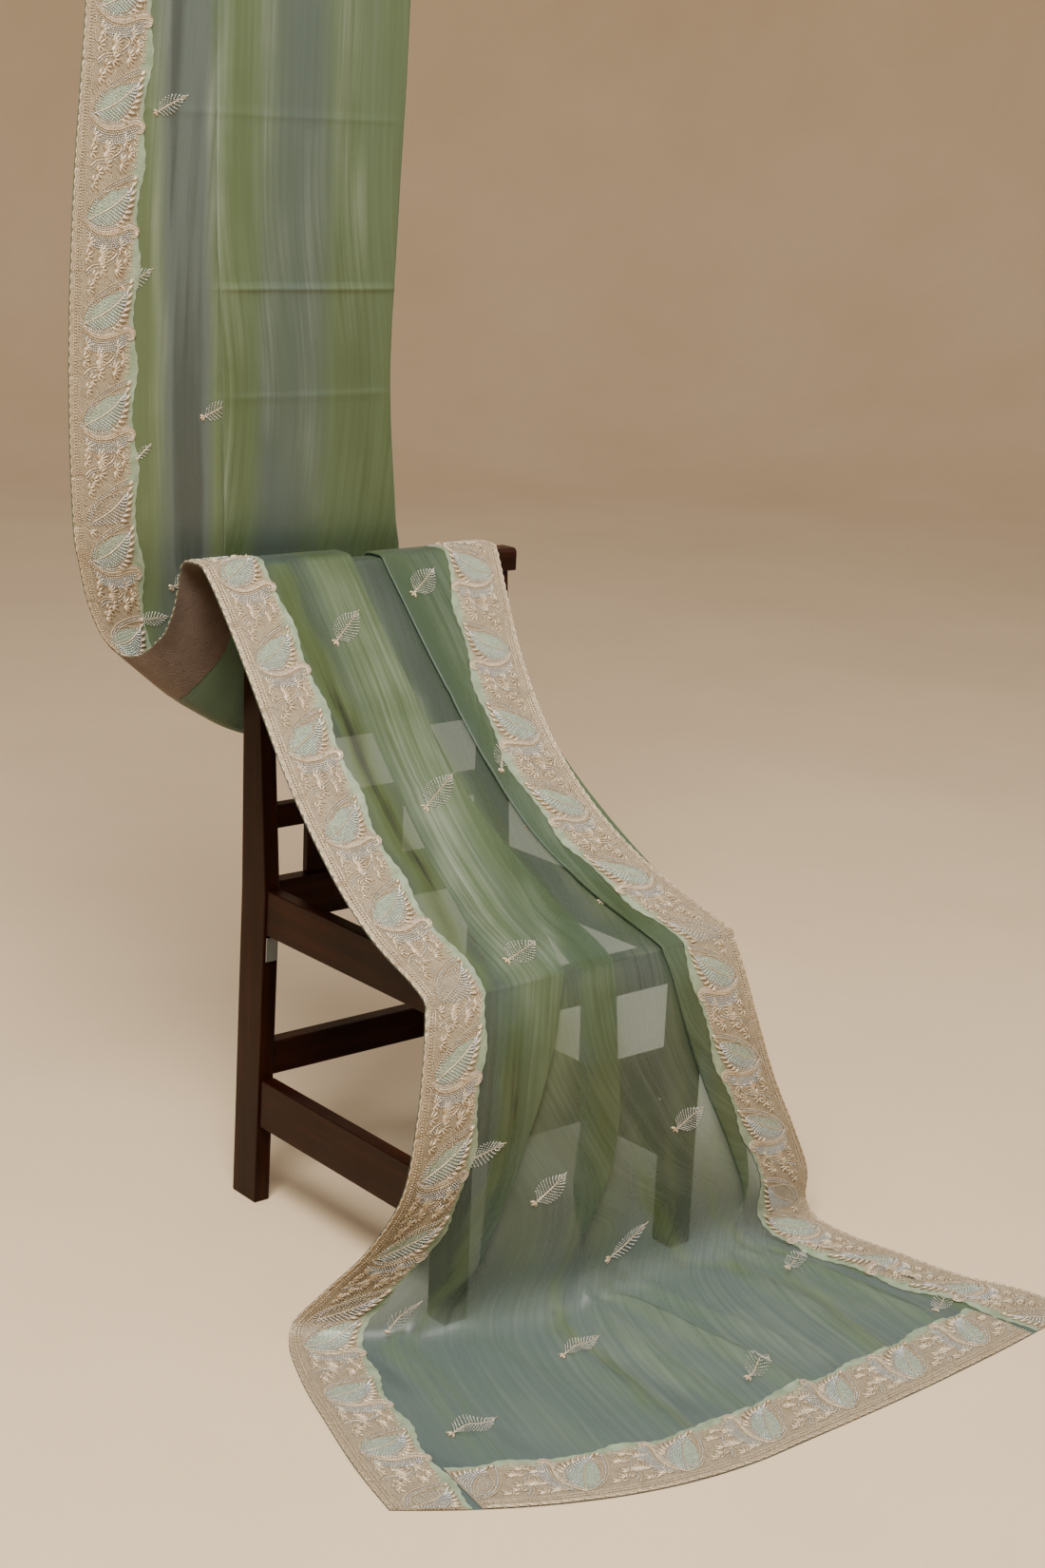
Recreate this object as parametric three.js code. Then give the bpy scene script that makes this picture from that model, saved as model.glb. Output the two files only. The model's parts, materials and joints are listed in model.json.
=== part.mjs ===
import * as THREE from 'three';

// A sheer embroidered saree hung from a rod and draped over a wooden chair with an open seat.
// Millimetres. X runs to the chair's right, Y runs from its front to its back, Z is up.
// The drawing starts at the floor below the chair's rear left corner; the finished group is
// moved so that the middle of its footprint is the origin.

// The saree: one sheet, modelled as a thin wall, with a border sewn along three edges.
const sheet = { wall: 1.2, seam: 0.5, edgeReach: 0.43 };
const border = { width: 90, hinge: 24, wall: 1.2, gap: 0.8, sideGap: 1.5, repeat: 125, leafReach: 8, leafRoot: 1 };

// How a fold is shaped: how far its round edge reaches where the layers lie close and where they
// lie open, which widths count as open and as narrow, and the shares of a width that are used.
const fold = { closeReach: 2.2, openReach: 26, open: 24, narrow: 12, mostReach: 0.3, slant: 0.25 };

// Limits that keep the wall even: the longest mitre, the flattest corner, and the largest share of
// the way to its neighbour that a point is moved.
const limits = { mitre: 1.8, corner: 0.4, seamShare: 0.4, leafShare: 0.8 };

// The chair.
const chair = { width: 420, depth: 410, seatTop: 436, railTop: 885, post: 24, leg: 36 };
const rearPost = [
  { z: 0, front: 22, back: 78 },
  { z: 230, front: 13, back: 70 },
  { z: 450, front: 7, back: 64 },
  { z: 600, front: 17, back: 66 },
  { z: 853, front: 36, back: 66 },
];
const crossRails = [
  { name: 'back_panel', y: 40, thick: 14, low: 643, high: 852.7 },
  { name: 'mid_rail', y: 22, thick: 20, low: 536, high: 568 },
  { name: 'back_seat_rail', y: 12, thick: 24, low: 407, high: 466 },
  { name: 'back_lower_rail', y: 18, thick: 22, low: 187, high: 235 },
];
const frontRails = [
  { name: 'front_seat_rail', y: -410, thick: 22, low: 385, high: 436 },
  { name: 'front_lower_rail', y: -405, thick: 20, low: 222, high: 285 },
];
const sideRails = [
  { name: 'seat_rail', inset: 3, thick: 21, low: 394, high: 457 },
  { name: 'lower_rail', inset: 3, thick: 21, low: 115, high: 184 },
];
const topRail = { overhang: 10, front: 30, back: 66, low: 853, round: 6 };
const slats = { count: 3, wide: 54, thick: 12, y: 26 };
const bracket = { wide: 17, high: 34, thick: 2, low: 356 };

// The rod above, and the folded length of saree that lies over it.
const rod = { radius: 14, z: 1900, y: 145.7, from: -300, to: 370, bevel: 3 };
const rest = { from: -196, to: 268, frontEnd: 1664, backEnd: 1668, layerEnds: [0, 21, 14, 7] };

const clearance = 0.3;
const borderBase = sheet.wall / 2 + border.gap;
const borderTop = borderBase + border.wall;

// The sheet is followed from its free end on the floor, up over the seat and the top rail,
// round the loop behind the chair and up to the rod. Each row below is one section across it.
// x0 and x7 are the two long edges, x1 to x6 the edges of its folds, in their order across the
// cloth, with x7 where the right border would reach if it lay open. yL, y, yR and zL, z, zR place
// the left edge, the middle and the right edge. 'chair' and 'rod' are the spacing of the layers
// as they lie on the chair and on the rod, 'wave' the height of loose waves, 'turn' the degrees
// by which the right border is turned under, and 'steps' the rings from this row to the next.
const columns = [
  'x0', 'x1', 'x2', 'x3', 'x4', 'x5', 'x6', 'x7',
  'yL', 'y', 'yR', 'zL', 'z', 'zR', 'chair', 'rod', 'wave', 'turn', 'steps',
];
const laid = sheet.wall / 2;
const floorRows = [
  [-301, -103, -5, 178, 239, 482, 566, 700, -704, -868, -845, laid, laid, laid, 0, 0, 0, 0, 2],
  [-283, -92, 2, 180, 246, 478, 552, 684, -616, -778, -762, laid, laid, laid, 0, 0, 3, 0, 2],
  [-258, -76, 10, 182, 262, 474, 516, 650, -530, -690, -690, laid, laid, laid, 0, 0, 7, 0, 2],
  [-230, -58, 18, 180, 262, 472, 500, 632, -440, -600, -606, laid, laid, laid, 0, 0, 8, 0, 2],
  [-200, -40, 26, 176, 232, 470, 488, 616, -366, -520, -522, laid, laid, 1, 0, 0, 7, 0, 1],
  [-182, -20, 34, 172, 200, 466, 480, 606, -334, -478, -470, 1, 6, 10, 0, 0, 4, 0, 1],
];
const fallRows = [
  [-168, -2, 32, 172, 186, 464, 474, 596, -318, -460, -454, 18, 34, 36, 1, 0, 0, 0, 3],
  [-145, 20, 28, 175, 181, 480, 466, 590, -330, -454, -450, 68, 84, 86, 4.6, 0, 0, 0, 4],
  [-114, 45, 28, 218, 166, 472, 434, 556, -384, -450, -448, 142, 160, 158, 4.6, 0, 0, 0, 2],
  [-98, 80, 26, 236, 176, 458, 392, 514, -430, -446, -446, 226, 242, 240, 4, 0, 0, 0, 2],
  [-88, 114, 30, 234, 174, 444, 356, 480, -438, -440, -440, 318, 330, 328, 4, 0, 0, 0, 2],
  [-72, 142, 44, 240, 182, 440, 338, 462, -430, -428, -428, 398, 400, 398, 3, 0, 0, 0, 1],
];

// Rows round a bend, all with the same section: the middle surface turns about a line along X.
const bendSpacing = 3;
function bendRows(across, centre, radius, degrees) {
  return degrees.map((turn) => {
    const angle = THREE.MathUtils.degToRad(turn);
    const y = centre.y + radius * Math.cos(angle);
    const z = centre.z + radius * Math.sin(angle);
    return [...across, y, y, y, z, z, z, bendSpacing, 0, 0, 0, 1];
  });
}
const seatBend = { y: -407.5, z: 433 };
const frontBend = { y: topRail.front + topRail.round, z: chair.railTop - topRail.round };
const backBend = { y: topRail.back - topRail.round, z: chair.railTop - topRail.round };
const overSeat = [-57, 160, 58, 246, 185, 440, 332, 458];
const overRail = [-90, 141, 63, 135, 75, 330, 194, 390];
const railGap = 0.7;
const railBendRadius = topRail.round + sheet.wall / 2 + railGap;
const seatBendRadius = 4.85;
const drapeRows = [
  ...bendRows(overSeat, seatBend, seatBendRadius, [180, 155, 130]),
  [-62, 162, 60, 240, 180, 430, 318, 442, -390, -390, -390, 453.5, 453.5, 453.5, 3, 0, 0, 0, 1],
  [-86, 166, 62, 210, 164, 404, 274, 398, -334, -334, -334, 498, 498, 498, 4, 0, 0, 0, 2],
  [-95, 158, 61, 178, 128, 372, 234, 358, -254, -254, -254, 568, 568, 568, 4, 0, 0, 0, 2],
  [-95, 152, 61, 152, 96, 344, 215, 340, -164, -164, -164, 658, 658, 658, 4, 0, 0, 0, 2],
  [-88, 147, 62, 138, 80, 330, 205, 352, -78, -78, -78, 754, 754, 754, 3.5, 0, 0, 0, 2],
  [-86, 143, 63, 135, 76, 330, 197, 382, 6, 6, 6, 852, 852, 852, 3, 0, 0, 0, 1],
  ...bendRows(overRail, frontBend, railBendRadius, [138, 114, 90]),
];
const loopRows = [
  ...bendRows(overRail, backBend, railBendRadius, [90, 60, 30, 5]),
  [-92, 136, 66, 134, 80, 328, 198, 392, 67, 69, 69, 856, 850, 850, 3, 0, 0, 0, 1],
  [-98, 124, 74, 130, 92, 324, 200, 402, 68, 72, 72, 824, 805, 805, 3.5, 0, 0, 0, 1],
  [-110, 91, 83, 127, 117, 318, 196, 410, 76, 78, 78, 788, 725, 735, 4.2, 0, 0, 0, 4],
  [-122, 60, 88, 130, 144, 312, 180, 414, 92, 92, 92, 770, 656, 672, 3.4, 0.4, 0, 0, 2],
  [-133, 20, 86, 140, 182, 306, 150, 416, 110, 118, 116, 764, 628, 650, 1.5, 2, 0, 0, 2],
  [-152, 5, 80, 142, 186, 298, 110, 414, 124, 142, 140, 770, 654, 675, 0, 3.5, 0, 30, 2],
  [-177, -2, 72, 136, 182, 288, 66, 408, 130, 148, 147, 798, 722, 738, 0, 3.5, 0, 90, 2],
  [-198, -6, 66, 130, 178, 284, 30, 404, 130, 146, 145, 846, 805, 815, 0, 3.5, 0, 150, 2],
  [-213, -8, 62, 126, 176, 281, 8, 402, 124, 132, 132, 898, 878, 880, 0, 3.5, 0, 180, 1],
];
const hungRows = [
  [-223, -10, 60, 125, 175, 264, -2, 386, 120, 122, 122, 945, 942, 942, 0, 3.5, 0, 180, 3],
  [-228, -12, 60, 125, 176, 249, -8, 371, 120, 120, 120, 1120, 1120, 1120, 0, 3.5, 0, 180, 3],
  [-220, -8, 64, 130, 180, 256, -18, 378, 120, 120, 120, 1350, 1350, 1350, 0, 3.5, 0, 180, 3],
  [-201, 4, 72, 136, 186, 264, -20, 386, 120, 120, 120, 1580, 1580, 1580, 0, 3.5, 0, 180, 3],
  [-192, 8, 76, 140, 190, 267, -20, 389, 120, 120, 120, 1820, 1820, 1820, 0, 3.5, 0, 180, 1],
];
const lowestTurn = 1658;

// The row over the rod: the same section, carried round a half circle and down behind it.
function turnRow(y, z, steps) {
  const across = [-190, 8, 76, 140, 190, 267, -20, 389];
  return [...across, y, y, y, z, z, z, 0, 3.5, 0, 180, steps];
}
const turnRadius = rod.y - 120;
const turnSteps = 6;
const turnRows = [];
for (let i = 0; i <= turnSteps; i += 1) {
  const angle = (Math.PI * i) / turnSteps;
  turnRows.push(turnRow(rod.y - turnRadius * Math.cos(angle), rod.z + turnRadius * Math.sin(angle), 1));
}
turnRows.push(turnRow(rod.y + turnRadius, lowestTurn, 1));

// The stretches of the saree, each one solid, and the height of each layer in the two folds.
const stretches = [
  { name: 'floor_spread', rows: floorRows },
  { name: 'front_fall', rows: fallRows },
  { name: 'chair_drape', rows: drapeRows },
  { name: 'back_loop', rows: loopRows },
  { name: 'upper_fall', rows: hungRows },
  { name: 'rod_turn', rows: turnRows },
];
const layersOnChair = [4, 3, 2, 1, 0, 1, 2, 2];
const layersOnRod = [1, 1, 1, 1, 1, 2, 3, 0];
const layersInWaves = [0, 1, 0, 1, 0.4, 1, 0, 0];
const innerPoints = [1, 1, 1, 1, 2, 1, 1];

// Colours follow the real cloth, embroidery and wood.
const clothLook = new THREE.MeshStandardMaterial({ color: 0x8a9c76, roughness: 0.55, metalness: 0 });
const borderLook = new THREE.MeshStandardMaterial({ color: 0xb9b493, roughness: 0.45, metalness: 0.2 });
const woodLook = new THREE.MeshStandardMaterial({ color: 0x3a1d12, roughness: 0.35, metalness: 0 });
const steelLook = new THREE.MeshStandardMaterial({ color: 0x9a9a96, roughness: 0.35, metalness: 0.8 });

const model = new THREE.Group();

function addPiece(name, geometry, look) {
  const mesh = new THREE.Mesh(geometry, look);
  mesh.name = name;
  model.add(mesh);
  return mesh;
}

// Smooth curve through four neighbouring values.
function curveThrough(a, b, c, d, t) {
  const start = (c - a) / 2;
  const end = (d - b) / 2;
  const cubic = 2 * b - 2 * c + start + end;
  const square = 3 * c - 3 * b - 2 * start - end;
  return ((cubic * t + square) * t + start) * t + b;
}

// All rings of the sheet, in order, each with the name of its stretch.
function listRings() {
  const rows = stretches.flatMap((stretch) => stretch.rows.map((values) => ({ stretch: stretch.name, values })));
  const rings = [];
  rows.forEach((row, i) => {
    const before = rows[Math.max(i - 1, 0)].values;
    const after = rows[Math.min(i + 1, rows.length - 1)].values;
    const beyond = rows[Math.min(i + 2, rows.length - 1)].values;
    const steps = i < rows.length - 1 ? row.values[columns.indexOf('steps')] : 1;
    for (let s = 0; s < steps; s += 1) {
      const ring = { stretch: row.stretch };
      columns.forEach((column, c) => {
        ring[column] = curveThrough(before[c], row.values[c], after[c], beyond[c], s / steps);
      });
      rings.push(ring);
    }
  });
  return rings;
}

// The fold edges of a ring as points of (x, height), the edges of the sheet included.
function foldProfile(ring) {
  const x = [0, 1, 2, 3, 4, 5, 6].map((i) => ring[`x${i}`]);
  x.push(ring.x7 - border.hinge - border.width);
  const level = (segment) =>
    layersOnChair[segment] * ring.chair + layersOnRod[segment] * ring.rod + layersInWaves[segment] * ring.wave;
  const lean = (from, to) => THREE.MathUtils.clamp((to - from) / fold.open, -1, 1);
  const reached = (from, to, reach) => Math.sign(to - from) * Math.min(reach, Math.abs(to - from) * fold.mostReach);
  const profile = [{ x: x[0], height: level(0) }];
  for (let i = 1; i < 7; i += 1) {
    const open = Math.max(0, lean(x[i - 1], x[i]) * lean(x[i], x[i + 1]));
    const reach = fold.closeReach + (fold.openReach - fold.closeReach) * open;
    const before = level(i - 1);
    const after = level(i);
    const steep = (segment) => fold.slant * Math.max(0, 1 - Math.abs(x[segment + 1] - x[segment]) / fold.narrow);
    profile.push({ x: x[i] - reached(x[i - 1], x[i], reach), height: before + (after - before) * steep(i - 1) });
    profile.push({ x: x[i], height: (before + after) / 2 });
    profile.push({ x: x[i] + reached(x[i], x[i + 1], reach), height: after + (before - after) * steep(i) });
  }
  return [...profile, ...turnedBorder(x[7], level(6), level(6) - level(7), ring.turn)];
}

// The right border after its hinge line: it lies open, or turns down and under the layers.
function turnedBorder(x, height, drop, turn) {
  const angle = THREE.MathUtils.degToRad(turn);
  const radius = drop / 2;
  const arc = radius * angle;
  const hinge = Math.max(border.hinge, arc);
  const reached = [0, hinge / 2, hinge, hinge + border.width / 2, hinge + border.width];
  return reached.map((along) => {
    const bent = arc > 0 ? Math.min(along, arc) / radius : 0;
    const straight = Math.max(0, along - arc);
    return {
      x: x + radius * Math.sin(bent) + straight * Math.cos(bent),
      height: height - radius * (1 - Math.cos(bent)) - straight * Math.sin(bent),
    };
  });
}

// Points between the folds are added, and two near the left edge that carry the border.
function ringPoints(ring) {
  const profile = foldProfile(ring);
  const points = [];
  profile.forEach((point, i) => {
    points.push(point);
    const segment = i / 3;
    if (!Number.isInteger(segment) || segment >= innerPoints.length) {
      return;
    }
    const next = profile[i + 1];
    const shares = [];
    if (segment === 0) {
      for (const distance of [border.width / 2, border.width]) {
        shares.push((edgeDistance(ring, distance) - point.x) / (next.x - point.x));
      }
    }
    const from = shares[1] ?? 0;
    for (let n = 1; n <= innerPoints[segment]; n += 1) {
      shares.push(from + ((1 - from) * n) / (innerPoints[segment] + 1));
    }
    for (const t of shares) {
      points.push({ x: point.x + (next.x - point.x) * t, height: point.height + (next.height - point.height) * t });
    }
  });
  return points;
}

// How strongly the left or the right edge pulls a point away from the middle's path. It goes by
// the place across the sheet, so that layers that lie over each other are pulled alike.
function edgePull(ring, x) {
  const share = THREE.MathUtils.clamp((x - ring.x0) / (ring.x7 - ring.x0), 0, 1);
  const left = Math.max(0, 1 - share / sheet.edgeReach) ** 2;
  const right = Math.max(0, 1 - (1 - share) / sheet.edgeReach) ** 2;
  return { left, right };
}

// Where a ring's lowest layer lies at a place across it.
function placeOn(ring, x) {
  const pull = edgePull(ring, x);
  return {
    y: ring.y + (ring.yL - ring.y) * pull.left + (ring.yR - ring.y) * pull.right,
    z: ring.z + (ring.zL - ring.z) * pull.left + (ring.zR - ring.z) * pull.right,
  };
}

// The x that lies a distance in from the left edge, measured along the cloth.
function edgeDistance(ring, distance) {
  const step = 1;
  let x = ring.x0;
  let travelled = 0;
  while (travelled < distance) {
    const from = placeOn(ring, x);
    const to = placeOn(ring, x + step);
    travelled += Math.hypot(step, to.y - from.y, to.z - from.z);
    x += step;
  }
  return x;
}

// Middle surface of the whole sheet: a grid of points, ring by ring.
function middleSurface(rings) {
  const base = rings.map((ring) =>
    ringPoints(ring).map((point) => ({ x: point.x, ...placeOn(ring, point.x), height: point.height })),
  );
  return base.map((line, k) =>
    line.map((point, j) => {
      const ahead = base[Math.min(k + 1, base.length - 1)][j];
      const behind = base[Math.max(k - 1, 0)][j];
      const travel = new THREE.Vector2(ahead.y - behind.y, ahead.z - behind.z).normalize();
      return new THREE.Vector3(
        point.x,
        point.y - travel.y * point.height,
        point.z + travel.x * point.height,
      );
    }),
  );
}

// Direction to the embroidered side at each grid point, longer where the ring turns sharply.
function facing(grid) {
  return grid.map((line, k) =>
    line.map((point, j) => {
      const ahead = grid[Math.min(k + 1, grid.length - 1)][j];
      const behind = grid[Math.max(k - 1, 0)][j];
      const travel = ahead.clone().sub(behind).normalize();
      const sides = [];
      if (j > 0) {
        sides.push(point.clone().sub(line[j - 1]).cross(travel).normalize());
      }
      if (j < line.length - 1) {
        sides.push(line[j + 1].clone().sub(point).cross(travel).normalize());
      }
      const normal = sides.reduce((sum, side) => sum.add(side), new THREE.Vector3()).normalize();
      const stretchBy = Math.min(limits.mitre, 1 / Math.max(normal.dot(sides[0]), limits.corner));
      return normal.multiplyScalar(stretchBy);
    }),
  );
}

// A closed wall between two grids of points that have the same rows and columns.
function wallBetween(outer, inner) {
  const rows = outer.length;
  const across = outer[0].length;
  const points = [...outer.flat(), ...inner.flat()];
  const offset = rows * across;
  const index = [];
  const at = (k, j) => k * across + j;
  const quad = (a, b, c, d) => index.push(a, b, c, a, c, d);
  for (let k = 0; k < rows - 1; k += 1) {
    for (let j = 0; j < across - 1; j += 1) {
      quad(at(k, j), at(k, j + 1), at(k + 1, j + 1), at(k + 1, j));
      quad(offset + at(k, j), offset + at(k + 1, j), offset + at(k + 1, j + 1), offset + at(k, j + 1));
    }
  }
  const rim = [];
  for (let j = 0; j < across - 1; j += 1) {
    rim.push(at(0, j));
  }
  for (let k = 0; k < rows - 1; k += 1) {
    rim.push(at(k, across - 1));
  }
  for (let j = across - 1; j > 0; j -= 1) {
    rim.push(at(rows - 1, j));
  }
  for (let k = rows - 1; k > 0; k -= 1) {
    rim.push(at(k, 0));
  }
  rim.forEach((a, i) => {
    const b = rim[(i + 1) % rim.length];
    quad(a, offset + a, offset + b, b);
  });
  const geometry = new THREE.BufferGeometry();
  geometry.setAttribute('position', new THREE.Float32BufferAttribute(points.flatMap((p) => p.toArray()), 3));
  geometry.setIndex(index);
  return geometry;
}

// The grid's points moved out of the cloth by a distance, but never below the floor.
function moved(grid, normals, distance) {
  return grid.map((line, k) =>
    line.map((point, j) => {
      const place = point.clone().addScaledVector(normals[k][j], distance);
      place.z = Math.max(place.z, 0);
      return place;
    }),
  );
}

// The last ring of a grid drawn back towards the one before it.
function drawnBack(grid, seam) {
  const last = grid.length - 1;
  const end = grid[last].map((point, j) => {
    const travel = grid[last - 1][j].clone().sub(point);
    return point.clone().addScaledVector(travel, Math.min(seam / travel.length(), limits.seamShare));
  });
  return [...grid.slice(0, last), end];
}

// A wall between two distances from the grid, kept a seam's width from the ends that are asked for.
function addWall(name, grid, normals, low, high, look, seams) {
  const trimmed = (distance) => {
    const ended = seams.end ? drawnBack(moved(grid, normals, distance), sheet.seam) : moved(grid, normals, distance);
    return seams.start ? drawnBack(ended.reverse(), sheet.seam).reverse() : ended;
  };
  addPiece(name, wallBetween(trimmed(high), trimmed(low)), look);
}

// How far a border leaf reaches past the border's inner edge at a place along it.
function leafReach(along) {
  const phase = (along % border.repeat) / border.repeat;
  return border.leafReach * (0.5 - 0.5 * Math.cos(2 * Math.PI * phase));
}

// A strip of the border: three of the sheet's own points at its edge, and a leaf-edged inner line.
// It works for the grid and, with the same shares, for the directions out of it.
function borderStrip(values, shares, side) {
  return values.map((line, k) => {
    const ordered = side === 'left' ? line.slice(0, 4) : line.slice(-4).reverse();
    const strip = [ordered[0], ordered[1], ordered[2], ordered[2].clone().lerp(ordered[3], shares[k])];
    return side === 'left' ? strip : strip.reverse();
  });
}

// Share of the way to the sheet's next point that the border's leaves take up, ring by ring.
function leafShares(grid, lengths, side) {
  return grid.map((line, k) => {
    const ordered = side === 'left' ? line.slice(0, 4) : line.slice(-4).reverse();
    const room = ordered[2].distanceTo(ordered[3]);
    return Math.min((leafReach(lengths[k]) + border.leafRoot) / room, limits.leafShare);
  });
}

function addSaree() {
  const rings = listRings();
  const grid = middleSurface(rings);
  const normals = facing(grid);
  const half = sheet.wall / 2;
  let travelled = 0;
  const lengths = grid.map((line, k) => {
    if (k > 0) {
      travelled += line[0].distanceTo(grid[k - 1][0]);
    }
    return travelled;
  });
  stretches.forEach((stretch, s) => {
    const from = rings.findIndex((ring) => ring.stretch === stretch.name);
    const next = rings.findIndex((ring) => ring.stretch === stretches[s + 1]?.name);
    const to = next < 0 ? rings.length : next + 1;
    const part = grid.slice(from, to);
    const out = normals.slice(from, to);
    addWall(stretch.name, part, out, -half, half, clothLook, { start: s > 0 });
    for (const side of ['left', 'right']) {
      const shares = leafShares(part, lengths.slice(from, to), side);
      const strip = borderStrip(part, shares, side);
      const stripOut = borderStrip(out, shares, side);
      const seams = { start: s > 0, end: next > 0 };
      addWall(`border_${side}_${stretch.name}`, strip, stripOut, borderBase, borderTop, borderLook, seams);
    }
  });
  addEndBorder(grid, normals, lengths);
}

// The border across the free end lies between the two side borders, with leaves on its inner line.
function addEndBorder(grid, normals, lengths) {
  const rows = 3;
  const crop = (lines) => lines.slice(0, rows).map((line) => line.slice(2, line.length - 3));
  const strip = crop(grid).map((line, k) => {
    const points = line.map((point) => point.clone());
    const fromSide = leafReach(lengths[k]) + border.leafRoot + border.sideGap;
    points[0].addScaledVector(line[1].clone().sub(line[0]).normalize(), fromSide);
    return points;
  });
  const innerLine = strip[rows - 1];
  innerLine.forEach((point, j) => {
    const travel = grid[rows][j + 2].clone().sub(point).normalize();
    point.addScaledVector(travel, leafReach(point.x - innerLine[0].x));
  });
  addWall('end_border', strip, crop(normals), borderBase, borderTop, borderLook, {});
}

function addBox(name, size, centre, look) {
  const mesh = addPiece(name, new THREE.BoxGeometry(...size), look);
  mesh.position.set(...centre);
}

// A rail along X between two planes, a hair short of what it is let into.
function addCrossRail(name, y, thick, low, high, inset) {
  const length = chair.width - 2 * (inset + clearance);
  addBox(name, [length, thick, high - low], [chair.width / 2, y + thick / 2, (low + high) / 2], woodLook);
}

function extrudeAlongX(outline, from, to) {
  const shape = new THREE.Shape(outline.map(([y, z]) => new THREE.Vector2(y, z)));
  const geometry = new THREE.ExtrudeGeometry(shape, { depth: to - from, bevelEnabled: false });
  const toFrame = new THREE.Matrix4().makeBasis(
    new THREE.Vector3(0, 1, 0),
    new THREE.Vector3(0, 0, 1),
    new THREE.Vector3(1, 0, 0),
  );
  geometry.applyMatrix4(toFrame);
  geometry.translate(from, 0, 0);
  return geometry;
}

function addChair() {
  const outline = [
    ...rearPost.map((row) => [row.front, row.z]),
    ...rearPost.map((row) => [row.back, row.z]).reverse(),
  ];
  outline[rearPost.length - 1][1] -= clearance;
  outline[rearPost.length][1] -= clearance;
  addPiece('rear_post_left', extrudeAlongX(outline, 0, chair.post), woodLook);
  addPiece('rear_post_right', extrudeAlongX(outline, chair.width - chair.post, chair.width), woodLook);
  for (const side of ['left', 'right']) {
    const x = side === 'left' ? chair.leg / 2 : chair.width - chair.leg / 2;
    const y = -chair.depth + chair.leg / 2;
    addBox(`front_leg_${side}`, [chair.leg, chair.leg, chair.seatTop], [x, y, chair.seatTop / 2], woodLook);
    for (const rail of sideRails) {
      addSideRail(rail, side);
    }
  }
  for (const rail of crossRails) {
    addCrossRail(rail.name, rail.y, rail.thick, rail.low, rail.high, chair.post);
  }
  for (const rail of frontRails) {
    addCrossRail(rail.name, rail.y, rail.thick, rail.low, rail.high, chair.leg);
  }
  addTopRail();
  addSlats();
  addBrackets();
}

// A side rail ends against the front leg and against the bent front of the rear post.
function addSideRail(rail, side) {
  const x = side === 'left' ? rail.inset : chair.width - rail.inset - rail.thick;
  const front = -chair.depth + chair.leg + clearance;
  const bends = rearPost.filter((row) => row.z > rail.low && row.z < rail.high);
  const back = [
    [postFront(rail.low) - clearance, rail.low],
    ...bends.map((row) => [row.front - clearance, row.z]),
    [postFront(rail.high) - clearance, rail.high],
  ];
  const outline = [[front, rail.low], ...back, [front, rail.high]];
  addPiece(`${rail.name}_${side}`, extrudeAlongX(outline, x, x + rail.thick), woodLook);
}

// Y of the rear post's front face at a height: the foremost of the faces near it.
function postFront(z) {
  const i = Math.max(1, rearPost.findIndex((row) => row.z >= z));
  const below = rearPost[i - 1];
  const above = rearPost[i];
  return below.front + ((above.front - below.front) * (z - below.z)) / (above.z - below.z);
}

function addTopRail() {
  const corner = (y, from, to) => {
    const turns = [];
    for (const degrees of [from, (from + to) / 2, to]) {
      const angle = THREE.MathUtils.degToRad(degrees);
      const centreZ = chair.railTop - topRail.round;
      turns.push([y + topRail.round * Math.cos(angle), centreZ + topRail.round * Math.sin(angle)]);
    }
    return turns;
  };
  const outline = [
    [topRail.front, topRail.low],
    [topRail.back, topRail.low],
    ...corner(topRail.back - topRail.round, 0, 90),
    ...corner(topRail.front + topRail.round, 90, 180),
  ];
  addPiece('top_rail', extrudeAlongX(outline, -topRail.overhang, chair.width + topRail.overhang), woodLook);
}

function railNamed(name) {
  return crossRails.find((rail) => rail.name === name);
}

function addSlats() {
  const inner = chair.width - 2 * chair.post;
  const gap = (inner - slats.count * slats.wide) / (slats.count + 1);
  const low = railNamed('back_seat_rail').high + clearance;
  const high = railNamed('mid_rail').low - clearance;
  for (let i = 0; i < slats.count; i += 1) {
    const x = chair.post + gap + i * (slats.wide + gap) + slats.wide / 2;
    addBox(`back_slat_${i + 1}`, [slats.wide, slats.thick, high - low], [x, slats.y, (low + high) / 2], woodLook);
  }
}

// A small steel plate under the seat rail on the front of each rear post, with its screw.
function addBrackets() {
  const middle = bracket.low + bracket.high / 2;
  const slope = Math.atan2(postFront(bracket.low) - postFront(bracket.low + bracket.high), bracket.high);
  for (const side of ['left', 'right']) {
    const x = side === 'left' ? chair.post / 2 : chair.width - chair.post / 2;
    const holder = new THREE.Group();
    holder.position.set(x, postFront(middle) - clearance, middle);
    holder.rotation.x = slope;
    const plate = new THREE.Mesh(new THREE.BoxGeometry(bracket.wide, bracket.thick, bracket.high), steelLook);
    plate.name = `bracket_${side}`;
    plate.position.y = -bracket.thick / 2;
    holder.add(plate);
    model.add(holder);
  }
}

// The rod is a plain round bar with eased ends.
function addRod() {
  const profile = [
    [0, rod.from],
    [rod.radius - rod.bevel, rod.from],
    [rod.radius, rod.from + rod.bevel],
    [rod.radius, rod.to - rod.bevel],
    [rod.radius - rod.bevel, rod.to],
    [0, rod.to],
  ];
  const geometry = new THREE.LatheGeometry(profile.map(([r, x]) => new THREE.Vector2(r, x)), 24);
  geometry.rotateZ(-Math.PI / 2);
  const mesh = addPiece('rod', geometry, woodLook);
  mesh.position.set(0, rod.y, rod.z);
}

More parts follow.
